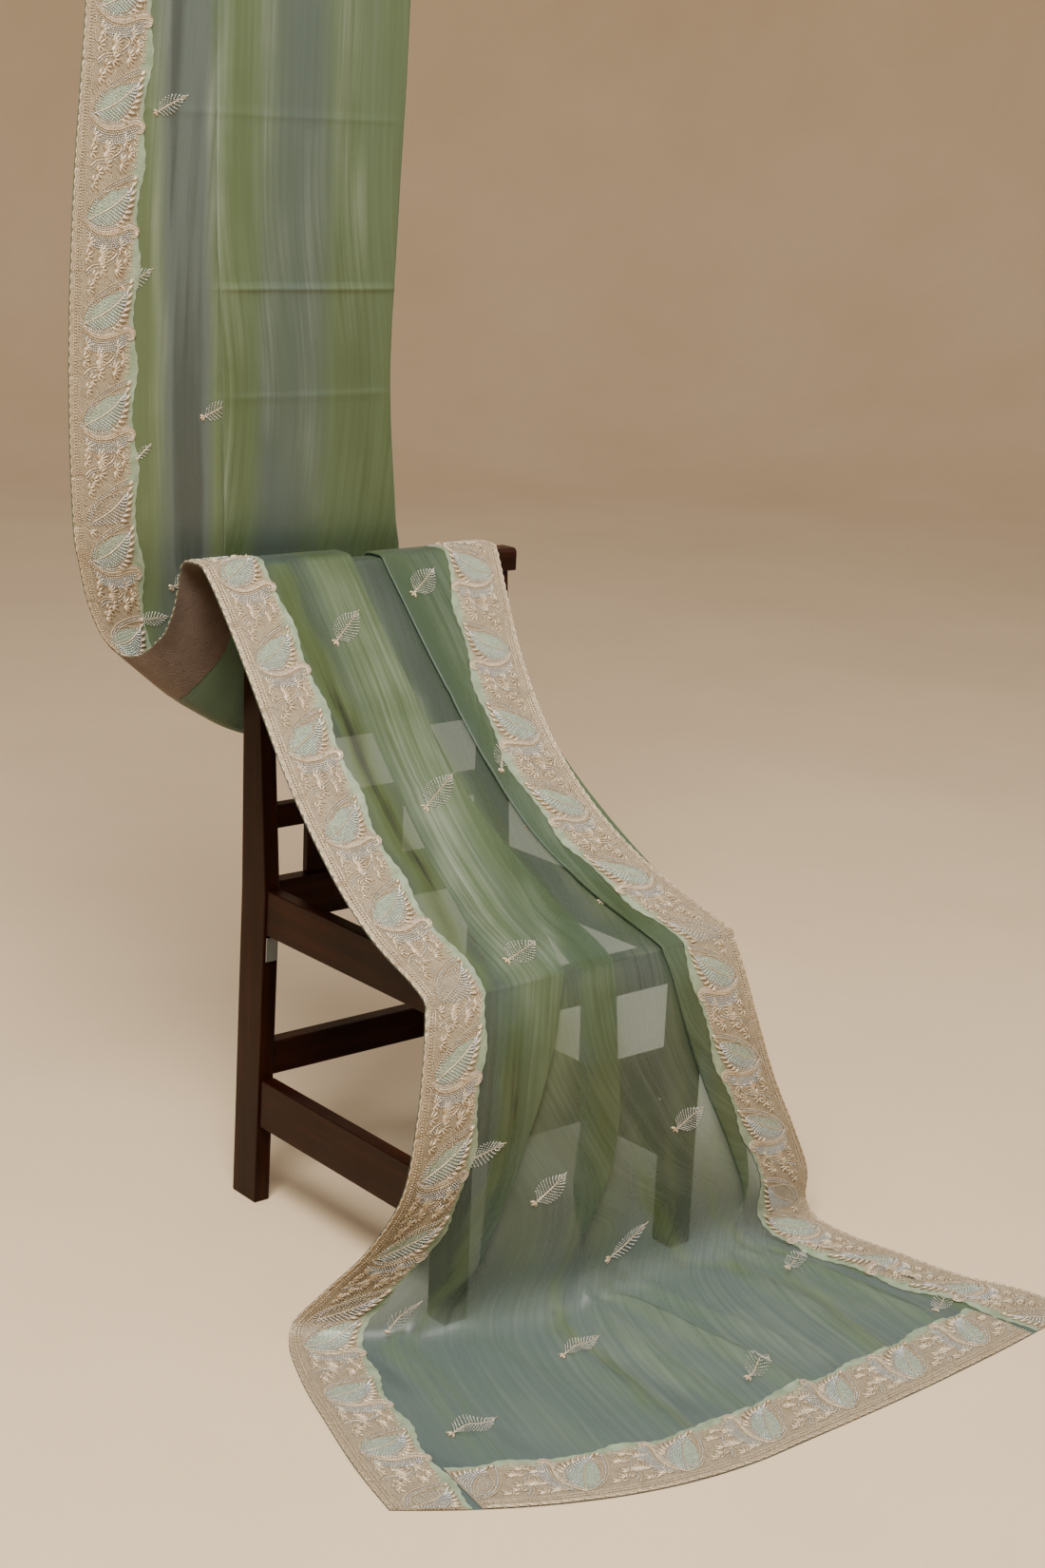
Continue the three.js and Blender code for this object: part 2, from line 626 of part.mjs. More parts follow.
// The folded length over the rod: one rounded saddle whose ends step like its layers.
function addFoldedRest() {
  const inner = (rod.radius + clearance) / Math.cos(Math.PI / turnSteps / 2);
  const outer = turnRadius - borderTop - clearance;
  const layers = rest.layerEnds.length;
  const layer = (outer - inner) / layers;
  const arc = (radius, reversed) => {
    const points = [];
    for (let i = 0; i <= turnSteps; i += 1) {
      const angle = (Math.PI * (reversed ? i : turnSteps - i)) / turnSteps;
      points.push([rod.y + radius * Math.cos(angle), rod.z + radius * Math.sin(angle)]);
    }
    return points;
  };
  const steps = (direction, end) => {
    const points = [];
    for (let i = 0; i < layers; i += 1) {
      const z = end + rest.layerEnds[i];
      points.push([rod.y + direction * (inner + (i + 1) * layer), z]);
      points.push([rod.y + direction * (inner + i * layer), z]);
    }
    return points;
  };
  const frontSteps = steps(-1, rest.frontEnd);
  const backSteps = steps(1, rest.backEnd);
  const order = (points) => {
    const sorted = [];
    for (let i = layers - 1; i >= 0; i -= 1) {
      sorted.push(points[2 * i], points[2 * i + 1]);
    }
    return sorted;
  };
  const outline = [
    ...arc(outer, false),
    ...order(backSteps),
    ...arc(inner, true),
    ...order(frontSteps).reverse(),
  ];
  addPiece('folded_rest', extrudeAlongX(outline.reverse(), rest.from, rest.to), clothLook);
}

addChair();
addRod();
addFoldedRest();
addSaree();

// The origin is the middle of the footprint, on the floor.
const whole = new THREE.Box3().setFromObject(model);
const centre = whole.getCenter(new THREE.Vector3());
model.position.set(-centre.x, -centre.y, -whole.min.z);
model.updateMatrixWorld(true);

export default model;
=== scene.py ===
import json
import math

import bmesh
import bpy
import numpy as np
from mathutils import Matrix, Vector


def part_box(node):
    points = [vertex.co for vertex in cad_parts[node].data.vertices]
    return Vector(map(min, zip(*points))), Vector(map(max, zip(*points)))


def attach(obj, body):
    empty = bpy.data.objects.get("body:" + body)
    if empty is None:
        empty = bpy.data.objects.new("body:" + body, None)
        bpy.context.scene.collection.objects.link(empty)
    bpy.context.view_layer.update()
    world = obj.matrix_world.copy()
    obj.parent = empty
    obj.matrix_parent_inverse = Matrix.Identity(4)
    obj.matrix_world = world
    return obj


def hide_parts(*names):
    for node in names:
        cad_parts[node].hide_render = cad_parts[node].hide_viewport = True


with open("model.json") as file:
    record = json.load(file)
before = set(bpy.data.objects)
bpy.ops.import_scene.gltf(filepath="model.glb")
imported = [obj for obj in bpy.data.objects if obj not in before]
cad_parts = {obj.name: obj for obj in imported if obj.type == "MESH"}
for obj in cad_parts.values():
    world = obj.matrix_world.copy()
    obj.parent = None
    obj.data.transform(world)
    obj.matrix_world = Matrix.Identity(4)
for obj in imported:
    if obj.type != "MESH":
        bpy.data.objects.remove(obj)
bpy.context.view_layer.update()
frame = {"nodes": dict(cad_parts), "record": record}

# The chair frame is the one that the solids were drawn in: the floor below the chair's rear left
# corner, X to the chair's right, Y to its back, Z up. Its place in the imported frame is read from
# the left rear post, whose foot reaches 78 mm behind that corner.
REAR_FOOT = 0.078
post_low, post_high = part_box("rear_post_left")
ORIGIN = Vector((post_low.x, post_high.y - REAR_FOOT, post_low.z))
MM = 0.001
LEAST_LENGTH = 1e-12


def add_object(name, data):
    """A new object in the scene."""
    made = bpy.data.objects.new(name, data)
    bpy.context.scene.collection.objects.link(made)
    return made


def unit(vectors):
    """Vectors along the last axis, each made one long."""
    return vectors / np.maximum(np.linalg.norm(vectors, axis=-1, keepdims=True), LEAST_LENGTH)


# Camera, fitted to the chair's straight edges in the photograph.
CAMERA_AT = (-1.6607, -2.4936, 1.4128)
CAMERA_YAW = math.radians(40.022)
CAMERA_PITCH = math.radians(14.880)
CAMERA_ROLL = -0.04356
FOCAL_PIXELS = 2472.7
PHOTO_HEIGHT = 1650


def make_camera():
    """The camera of the photograph, which is rolled a little."""
    data = bpy.data.cameras.new("camera")
    data.sensor_fit = "VERTICAL"
    data.sensor_height = 36.0
    data.lens = FOCAL_PIXELS * data.sensor_height / PHOTO_HEIGHT
    camera = add_object("camera", data)
    forward = Vector((
        math.sin(CAMERA_YAW) * math.cos(CAMERA_PITCH),
        math.cos(CAMERA_YAW) * math.cos(CAMERA_PITCH),
        -math.sin(CAMERA_PITCH),
    ))
    level = Vector((math.cos(CAMERA_YAW), -math.sin(CAMERA_YAW), 0))
    down = forward.cross(level)
    right = math.cos(CAMERA_ROLL) * level + math.sin(CAMERA_ROLL) * down
    up = math.sin(CAMERA_ROLL) * level - math.cos(CAMERA_ROLL) * down
    turn = Matrix((right, up, -forward)).transposed()
    camera.matrix_world = Matrix.Translation(ORIGIN + Vector(CAMERA_AT)) @ turn.to_4x4()
    bpy.context.scene.camera = camera


make_camera()


# The saree's surface.

# The same rows as in the solids, in millimetres, from the free end on the floor up to the rod.
# x0 and x7 are the long edges, x1 to x6 the edges of the folds; yL, y, yR and zL, z, zR place the
# left edge, the middle and the right edge; chair and rod space the layers; wave lifts loose
# folds; turn is how far the right border is turned under; steps is the solids' ring count.
COLUMNS = (
    "x0 x1 x2 x3 x4 x5 x6 x7 yL y yR zL z zR chair rod wave turn steps"
).split()
MIDDLE_Y, MIDDLE_Z = COLUMNS.index("y"), COLUMNS.index("z")
FLOOR = 0.6
floor_rows = [
    [-301, -103, -5, 178, 239, 482, 566, 700, -704, -868, -845, FLOOR, FLOOR, FLOOR, 0, 0, 0, 0, 2],
    [-283, -92, 2, 180, 246, 478, 552, 684, -616, -778, -762, FLOOR, FLOOR, FLOOR, 0, 0, 3, 0, 2],
    [-258, -76, 10, 182, 262, 474, 516, 650, -530, -690, -690, FLOOR, FLOOR, FLOOR, 0, 0, 7, 0, 2],
    [-230, -58, 18, 180, 262, 472, 500, 632, -440, -600, -606, FLOOR, FLOOR, FLOOR, 0, 0, 8, 0, 2],
    [-200, -40, 26, 176, 232, 470, 488, 616, -366, -520, -522, FLOOR, FLOOR, 1, 0, 0, 7, 0, 1],
    [-182, -20, 34, 172, 200, 466, 480, 606, -334, -478, -470, 1, 6, 10, 0, 0, 4, 0, 1],
]
fall_rows = [
    [-168, -2, 32, 172, 186, 464, 474, 596, -318, -460, -454, 18, 34, 36, 1, 0, 0, 0, 3],
    [-145, 20, 28, 175, 181, 480, 466, 590, -330, -454, -450, 68, 84, 86, 4.6, 0, 0, 0, 4],
    [-114, 45, 28, 218, 166, 472, 434, 556, -384, -450, -448, 142, 160, 158, 4.6, 0, 0, 0, 2],
    [-98, 80, 26, 236, 176, 458, 392, 514, -430, -446, -446, 226, 242, 240, 4, 0, 0, 0, 2],
    [-88, 114, 30, 234, 174, 444, 356, 480, -438, -440, -440, 318, 330, 328, 4, 0, 0, 0, 2],
    [-72, 142, 44, 240, 182, 440, 338, 462, -430, -428, -428, 398, 400, 398, 3, 0, 0, 0, 1],
]


def bend_rows(across, centre_y, centre_z, radius, degrees):
    """Rows round a bend, all with the same section."""
    rows = []
    for turn in degrees:
        y = centre_y + radius * math.cos(math.radians(turn))
        z = centre_z + radius * math.sin(math.radians(turn))
        rows.append([*across, y, y, y, z, z, z, 3, 0, 0, 0, 1])
    return rows


over_seat = [-57, 160, 58, 246, 185, 440, 332, 458]
over_rail = [-90, 141, 63, 135, 75, 330, 194, 390]
SEAT_BEND, SEAT_Y, SEAT_Z = 4.85, -407.5, 433
RAIL_BEND, RAIL_FRONT, RAIL_BACK, RAIL_Z = 7.3, 36, 60, 879
drape_rows = [
    *bend_rows(over_seat, SEAT_Y, SEAT_Z, SEAT_BEND, [180, 155, 130]),
    [-62, 162, 60, 240, 180, 430, 318, 442, -390, -390, -390, 453.5, 453.5, 453.5, 3, 0, 0, 0, 1],
    [-86, 166, 62, 210, 164, 404, 274, 398, -334, -334, -334, 498, 498, 498, 4, 0, 0, 0, 2],
    [-95, 158, 61, 178, 128, 372, 234, 358, -254, -254, -254, 568, 568, 568, 4, 0, 0, 0, 2],
    [-95, 152, 61, 152, 96, 344, 215, 340, -164, -164, -164, 658, 658, 658, 4, 0, 0, 0, 2],
    [-88, 147, 62, 138, 80, 330, 205, 352, -78, -78, -78, 754, 754, 754, 3.5, 0, 0, 0, 2],
    [-86, 143, 63, 135, 76, 330, 197, 382, 6, 6, 6, 852, 852, 852, 3, 0, 0, 0, 1],
    *bend_rows(over_rail, RAIL_FRONT, RAIL_Z, RAIL_BEND, [138, 114, 90]),
]
loop_rows = [
    *bend_rows(over_rail, RAIL_BACK, RAIL_Z, RAIL_BEND, [90, 60, 30, 5]),
    [-92, 136, 66, 134, 80, 328, 198, 392, 67, 69, 69, 856, 850, 850, 3, 0, 0, 0, 1],
    [-98, 124, 74, 130, 92, 324, 200, 402, 68, 72, 72, 824, 805, 805, 3.5, 0, 0, 0, 1],
    [-110, 91, 83, 127, 117, 318, 196, 410, 76, 78, 78, 788, 725, 735, 4.2, 0, 0, 0, 4],
    [-122, 60, 88, 130, 144, 312, 180, 414, 92, 92, 92, 770, 656, 672, 3.4, 0.4, 0, 0, 2],
    [-133, 20, 86, 140, 182, 306, 150, 416, 110, 118, 116, 764, 628, 650, 1.5, 2, 0, 0, 2],
    [-152, 5, 80, 142, 186, 298, 110, 414, 124, 142, 140, 770, 654, 675, 0, 3.5, 0, 30, 2],
    [-177, -2, 72, 136, 182, 288, 66, 408, 130, 148, 147, 798, 722, 738, 0, 3.5, 0, 90, 2],
    [-198, -6, 66, 130, 178, 284, 30, 404, 130, 146, 145, 846, 805, 815, 0, 3.5, 0, 150, 2],
    [-213, -8, 62, 126, 176, 281, 8, 402, 124, 132, 132, 898, 878, 880, 0, 3.5, 0, 180, 1],
]
hung_rows = [
    [-223, -10, 60, 125, 175, 264, -2, 386, 120, 122, 122, 945, 942, 942, 0, 3.5, 0, 180, 3],
    [-228, -12, 60, 125, 176, 249, -8, 371, 120, 120, 120, 1120, 1120, 1120, 0, 3.5, 0, 180, 3],
    [-220, -8, 64, 130, 180, 256, -18, 378, 120, 120, 120, 1350, 1350, 1350, 0, 3.5, 0, 180, 3],
    [-201, 4, 72, 136, 186, 264, -20, 386, 120, 120, 120, 1580, 1580, 1580, 0, 3.5, 0, 180, 3],
    [-192, 8, 76, 140, 190, 267, -20, 389, 120, 120, 120, 1820, 1820, 1820, 0, 3.5, 0, 180, 1],
]
ROD_Y, ROD_Z, ROD_RADIUS = 145.7, 1900.0, 14.0
HUNG_Y = 120
TURN_RADIUS = ROD_Y - HUNG_Y
TURN_STEPS = 6
LOWEST_TURN = 1658
turn_rows = []
for i in range(TURN_STEPS + 2):
    across = [-190, 8, 76, 140, 190, 267, -20, 389]
    if i <= TURN_STEPS:
        angle = math.pi * i / TURN_STEPS
        y = ROD_Y - TURN_RADIUS * math.cos(angle)
        z = ROD_Z + TURN_RADIUS * math.sin(angle)
    else:
        y, z = ROD_Y + TURN_RADIUS, LOWEST_TURN
    turn_rows.append([*across, y, y, y, z, z, z, 0, 3.5, 0, 180, 1])

STRETCHES = [
    ("floor_spread", floor_rows, "laid"),
    ("front_fall", fall_rows, "hung"),
    ("chair_drape", drape_rows, "draped"),
    ("back_loop", loop_rows, "draped"),
    ("upper_fall", hung_rows, "hung"),
    ("rod_turn", turn_rows, "draped"),
]
LAYERS_ON_CHAIR = (4, 3, 2, 1, 0, 1, 2, 2)
LAYERS_ON_ROD = (1, 1, 1, 1, 1, 2, 3, 0)
LAYERS_IN_WAVES = (0, 1, 0, 1, 0.4, 1, 0, 0)
FOLD_REACH, OPEN_REACH, OPEN, NARROW, EDGE_REACH = 2.2, 26, 24, 12, 0.43
BORDER_WIDTH, BORDER_HINGE = 90, 24
FOLD_SHARE, STEP_SHARE = 0.3, 0.25

# Points across each part of a ring: along the flat of a segment, round a fold, and in the border.
FLAT_POINTS = (34, 16, 20, 12, 30, 22, 12)
FOLD_POINTS = 6
HINGE_POINTS = (5, 5, 7, 7)
RING_SPACING = 14.0


# Creases, each a ridge (or, with a minus, a trough) that runs from one row to another, with a
# row for each: rows from and to, x at either end, height and half width in millimetres.
CREASES = [
    # Waves of the cloth spread on the floor.
    (0.8, 6.4, -150, -40, 10, 13),
    (0.2, 5.4, 60, 120, 7, 14),
    (0.4, 6.0, 150, 190, 9, 10),
    (0.0, 6.2, 262, 205, 13, 11),
    (1.2, 6.2, 330, 250, 8, 12),
    (0.4, 5.8, 405, 420, 11, 12),
    (1.6, 6.2, 470, 440, 8, 8),
    (0.0, 5.4, 520, 490, 10, 12),
    (0.6, 4.8, 610, 520, 9, 11),
    # The fall down to the floor.
    (5.6, 10.6, 250, 220, 3, 16),
    (5.8, 10.9, 330, 300, 4, 20),
    (5.6, 9.8, 400, 330, 3, 13),
    (6.0, 11.0, -70, -10, 3, 14),
    (6.0, 11.0, 95, 75, -2, 16),
    # The slant over the seat.
    (14.8, 19.6, 20, 5, 4, 17),
    (15.2, 19.8, 100, 85, -3, 15),
    (15.0, 19.0, 205, 165, 4, 15),
    (15.0, 19.6, 300, 265, 3.5, 13),
    (14.6, 17.2, 350, 300, 2.5, 10),
    (15.4, 19.4, -50, -40, 3, 13),
    # The loop behind the chair.
    (25.8, 31.5, -60, -100, 4, 20),
    (26.2, 32.5, 60, 10, -4, 24),
    (26.0, 32.0, 190, 150, 4, 18),
    (26.6, 32.6, 250, 210, 3, 14),
    # The length that hangs from the rod.
    (37.0, 41.6, -175, -150, 3.5, 16),
    (37.2, 42.0, -90, -70, -3.5, 20),
    (36.6, 41.8, 20, 34, 3.5, 15),
    (37.4, 42.2, 62, 84, -3.5, 18),
    (37.0, 41.2, 104, 98, 2.5, 9),
    (37.2, 42.0, 140, 160, 4, 18),
    (37.6, 42.2, 200, 216, 3, 13),
    (36.8, 39.4, 232, 250, -3, 14),
]

# Ironed creases that cross the cloth: row place, x from and to, slope in rows per 100 mm, height
# and half width in millimetres, and the length of a row there.
CROSS_CREASES = [
    (38.52, -12, 262, 0.0, 2.2, 4.0, 230),
    (37.89, -20, 250, 0.0, 0.8, 5.0, 180),
    (39.45, -200, 250, 0.0, 0.8, 5.0, 230),
    (17.60, 20, 340, 0.06, 1.8, 7.0, 120),
    (18.60, 40, 330, 0.05, 1.5, 7.0, 130),
    (16.20, -60, 300, 0.05, 1.2, 7.0, 90),
]

# Where extra rings cross an ironed crease, in half widths from its middle.
CREASE_RINGS = (-2, -1, -0.4, 0, 0.4, 1, 2)

# Rows where the cloth is held and has no creases: the row and how far from it they fade in.
HELD = [(13.0, 1.6), (22.5, 1.8), (25.5, 2.0), (45.5, 5.0)]
HELD_CORE = 0.35

# The last row that lies on the floor, and over how many rows the cloth comes to lie there.
FLOOR_LAST, FLOOR_FADE = 6.0, 1.5


def curve_through(a, b, c, d, t):
    """Smooth curve through four neighbouring rows."""
    start, end = (c - a) / 2, (d - b) / 2
    return (((2 * b - 2 * c + start + end) * t + 3 * c - 3 * b - 2 * start - end) * t + start) * t + b


def make_rings():
    """Rings of the whole sheet, and the first and last ring of each stretch."""
    rows = np.array([row for _, rows, _ in STRETCHES for row in rows], float)
    ends = np.cumsum([len(rows) for _, rows, _ in STRETCHES])
    rings, place, spans = [], [], []
    for i in range(len(rows)):
        before, row = rows[max(i - 1, 0)], rows[i]
        after, beyond = rows[min(i + 1, len(rows) - 1)], rows[min(i + 2, len(rows) - 1)]
        middle = np.hypot(after[MIDDLE_Y] - row[MIDDLE_Y], after[MIDDLE_Z] - row[MIDDLE_Z])
        count = max(int(row[-1]), round(middle / RING_SPACING)) if i < len(rows) - 1 else 1
        shares = [s / count for s in range(count)]
        for at, *_, slope, _, half, row_length in CROSS_CREASES:
            if slope == 0 and i < at < i + 1:
                shares += [at - i + step * half / row_length for step in CREASE_RINGS]
        for share in sorted(shares):
            rings.append(curve_through(before, row, after, beyond, share))
            place.append(i + share)
    place = np.array(place)
    starts = [0, *ends[:-1]]
    for first, last in zip(starts, ends):
        from_ring = int(np.searchsorted(place, first))
        to_ring = int(np.searchsorted(place, min(last, place[-1])))
        spans.append((from_ring, to_ring))
    return [dict(zip(COLUMNS, ring)) for ring in rings], place, spans


def segment_level(ring, i):
    """How high one flat part of a ring lies over the others, in millimetres."""
    return (
        LAYERS_ON_CHAIR[i] * ring["chair"]
        + LAYERS_ON_ROD[i] * ring["rod"]
        + LAYERS_IN_WAVES[i] * ring["wave"]
    )


def ring_profile(ring):
    """(x, height) of every point across a ring, from its left edge to its right."""
    x = [ring[f"x{i}"] for i in range(7)] + [ring["x7"] - BORDER_HINGE - BORDER_WIDTH]
    level = [segment_level(ring, i) for i in range(8)]
    groups = []
    for i in range(1, 7):
        into, out = x[i] - x[i - 1], x[i + 1] - x[i]
        lean = np.clip(into / OPEN, -1, 1) * np.clip(out / OPEN, -1, 1)
        reach = FOLD_REACH + (OPEN_REACH - FOLD_REACH) * max(0, lean)
        x_in = x[i] - math.copysign(min(reach, abs(into) * FOLD_SHARE), into)
        x_out = x[i] + math.copysign(min(reach, abs(out) * FOLD_SHARE), out)
        rise = level[i] - level[i - 1]
        h_in = level[i - 1] + rise * STEP_SHARE * max(0, 1 - abs(into) / NARROW)
        h_out = level[i] - rise * STEP_SHARE * max(0, 1 - abs(out) / NARROW)
        t = np.arange(FOLD_POINTS + 1) / FOLD_POINTS
        bow = 4 * t * (1 - t) * (x[i] - (x_in + x_out) / 2)
        groups.append((x_in + (x_out - x_in) * t + bow, h_in + (h_out - h_in) * t * t * (3 - 2 * t)))
    points = [(x[0], level[0])]
    for i in range(7):
        x_to, h_to = (groups[i][0][0], groups[i][1][0]) if i < 6 else (x[7], level[6])
        x_from, h_from = points[-1]
        for n in range(1, FLAT_POINTS[i] + 1):
            t = n / FLAT_POINTS[i]
            points.append((x_from + (x_to - x_from) * t, h_from + (h_to - h_from) * t))
        if i < 6:
            points += list(zip(groups[i][0][1:], groups[i][1][1:]))
    return points + turned_border(x[7], level[6], level[6] - level[7], ring["turn"])


def turned_border(x, height, drop, turn):
    """The right border after its hinge line: it lies open, or turns down and under the layers."""
    radius = drop / 2
    arc = radius * math.radians(turn)
    hinge = max(BORDER_HINGE, arc)
    stops = [0, hinge / 2, hinge, hinge + BORDER_WIDTH / 2, hinge + BORDER_WIDTH]
    points = []
    for (a, b), count in zip(zip(stops, stops[1:]), HINGE_POINTS):
        for n in range(1, count + 1):
            along = a + (b - a) * n / count
            bent = min(along, arc) / radius if arc > 0 else 0
            straight = max(0, along - arc)
            points.append((
                x + radius * math.sin(bent) + straight * math.cos(bent),
                height - radius * (1 - math.cos(bent)) - straight * math.sin(bent),
            ))
    return points


def soft_wave(x, place):
    """Shallow uneven waves everywhere, in millimetres."""
    return (
        0.5 * np.sin(x / 23.0 + 1.7 * np.sin(place * 0.9)) * np.sin(place * 0.7 + 1.0)
        + 0.35 * np.sin(x / 11.0 + place * 2.1 + 0.8 * np.sin(x / 40.0))
        + 0.3 * np.sin(place * 5.3 + x / 60.0)
    )


def crease_height(x, place):
    """Height of all creases at places (x, row), the same for every layer that lies there."""
    height = soft_wave(x, place)
    for start, end, x_start, x_end, high, half in CREASES:
        t = np.clip((place - start) / (end - start), 0, 1)
        centre = x_start + (x_end - x_start) * t
        taper = np.sin(np.pi * t) ** 0.7
        bend = 4 * np.sin(place * 2.3 + x_start)
        height = height + high * taper * np.exp(-(((x - centre - bend) / half) ** 2))
    for at, x_from, x_to, slope, high, half, row_length in CROSS_CREASES:
        near = (place - at - slope * (x - x_from) / 100) * row_length / half
        inside = 1 / (1 + np.exp(-(x - x_from) / 6)) / (1 + np.exp((x - x_to) / 6))
        height = height + high * inside * np.exp(-(near**2))
    return height


def edge_pull(ring, x):
    """How far places across a ring follow its left edge and its right edge."""
    share = np.clip((x - ring["x0"]) / (ring["x7"] - ring["x0"]), 0, 1)
    return np.maximum(0, 1 - share / EDGE_REACH) ** 2, np.maximum(0, 1 - (1 - share) / EDGE_REACH) ** 2


def make_grid(rings, place):
    """Middle surface of the whole saree in metres, as (rings, points across, 3)."""
    profiles = np.array([ring_profile(ring) for ring in rings])
    x, height = profiles[..., 0], profiles[..., 1]
    y, z = np.empty_like(x), np.empty_like(x)
    for k, ring in enumerate(rings):
        left, right = edge_pull(ring, x[k])
        y[k] = ring["y"] + (ring["yL"] - ring["y"]) * left + (ring["yR"] - ring["y"]) * right
        z[k] = ring["z"] + (ring["zL"] - ring["z"]) * left + (ring["zR"] - ring["z"]) * right
    travel_y, travel_z = np.gradient(y, axis=0), np.gradient(z, axis=0)
    size = np.hypot(travel_y, travel_z)
    on_floor = np.clip((FLOOR_LAST - place) / FLOOR_FADE, 0, 1)
    lifted = height + calm(place)[:, None] * crease_height(x, place[:, None])
    lowest = on_floor[:, None] * np.maximum(lifted, 0) + (1 - on_floor[:, None]) * lifted
    points = np.stack([x, y - travel_z / size * lowest, z + travel_y / size * lowest], axis=-1)
    points[..., 2] = np.maximum(points[..., 2], FLOOR)
    return points * MM + np.array(ORIGIN)


def calm(place):
    """Creases fade out where the cloth is held: at the seat's edge, the top rail and the rod."""
    strength = np.ones_like(place)
    for at, reach in HELD:
        strength *= np.clip(np.abs(place - at) / reach - HELD_CORE, 0, 1)
    return strength


rings, ring_place, ring_spans = make_rings()
grid = make_grid(rings, ring_place)


def surface_normals(points):
    """Unit normals on the embroidered side of a grid."""
    across = np.gradient(points, axis=1)
    travel = np.gradient(points, axis=0)
    return unit(np.cross(across, travel))


normals = surface_normals(grid)


def running_length(points, axis):
    """Length along an axis of a grid, from its start."""
    steps = np.linalg.norm(np.diff(points, axis=axis), axis=-1)
    zero = np.zeros_like(np.take(steps, [0], axis=axis))
    return np.concatenate([zero, np.cumsum(steps, axis=axis)], axis=axis)


across_length = running_length(grid, 1)
along_length = running_length(grid, 0).mean(axis=1)
cloth_uv = np.stack([across_length, np.broadcast_to(along_length[:, None], across_length.shape)], axis=-1)


# Materials.


class Looks:
    """One material's node tree, with short ways to add nodes and join them."""

    def __init__(self, name):
        self.material = bpy.data.materials.new(name)
        self.material.use_nodes = True
        self.tree = self.material.node_tree
        self.tree.nodes.clear()

    def add(self, kind, inputs, **settings):
        """A node with its settings; each input is given a value or joined to another node."""
        made = self.tree.nodes.new(kind)
        for key, value in settings.items():
            setattr(made, key, value)
        for key, value in inputs.items():
            if isinstance(value, bpy.types.NodeSocket):
                self.tree.links.new(value, made.inputs[key])
            else:
                made.inputs[key].default_value = value
        return made

    def object_place(self):
        return self.add("ShaderNodeTexCoord", {}).outputs["Object"]

    def cloth_place(self):
        return self.add("ShaderNodeUVMap", {}, uv_map="cloth").outputs["UV"]

    def point_value(self, name):
        return self.add("ShaderNodeAttribute", {}, attribute_name=name).outputs["Fac"]

    def noise(self, place, scale, detail, stretch=(1, 1, 1)):
        mapped = self.add("ShaderNodeMapping", {"Vector": place, "Scale": stretch}).outputs["Vector"]
        inputs = {"Vector": mapped, "Scale": scale, "Detail": detail, "Roughness": 0.6}
        return self.add("ShaderNodeTexNoise", inputs).outputs["Fac"]

    def ramp(self, factor, *stops):
        """Colours by a factor, from stops of a position and a colour."""
        made = self.add("ShaderNodeValToRGB", {"Fac": factor})
        elements = made.color_ramp.elements
        while len(elements) < len(stops):
            elements.new(0.5)
        for element, (position, colour) in zip(elements, stops):
            element.position = position
            element.color = (*colour, 1)
        return made.outputs["Color"]

    def between(self, factor, low, high):
        """A number from low to high, by a factor."""
        return self.ramp(factor, (0.3, (low, low, low)), (0.7, (high, high, high)))

    def math(self, operation, a, b):
        return self.add("ShaderNodeMath", {0: a, 1: b}, operation=operation).outputs[0]

    def total(self, *weighted):
        """The sum of values, each times its weight."""
        terms = [self.math("MULTIPLY", value, weight) for value, weight in weighted]
        result = terms[0]
        for term in terms[1:]:
            result = self.math("ADD", result, term)
        return result

    def mixed(self, factor, a, b):
        """Colour a, or b where the factor is 1."""
        return self.add("ShaderNodeMix", {"Factor": factor, 6: a, 7: b}, data_type="RGBA").outputs[2]

    def bump(self, height, strength, distance):
        inputs = {"Height": height, "Strength": strength, "Distance": distance}
        return self.add("ShaderNodeBump", inputs).outputs["Normal"]

    def shader(self, kind, inputs):
        return self.add(kind, inputs).outputs[0]

    def principled(self, colour, **inputs):
        """An opaque surface; the inputs' names have underscores for their spaces."""
        named = {key.replace("_", " "): value for key, value in inputs.items()}
        return self.shader("ShaderNodeBsdfPrincipled", {"Base Color": colour, **named})

    def finished(self, surface):
        self.add("ShaderNodeOutputMaterial", {"Surface": surface})
        return self.material


LIT_THROUGH = 0.35
# The pale colour of the painted sheen where a fold faces the light.
PAINTED_SHEEN_COLOUR = (0.36, 0.41, 0.30, 1)


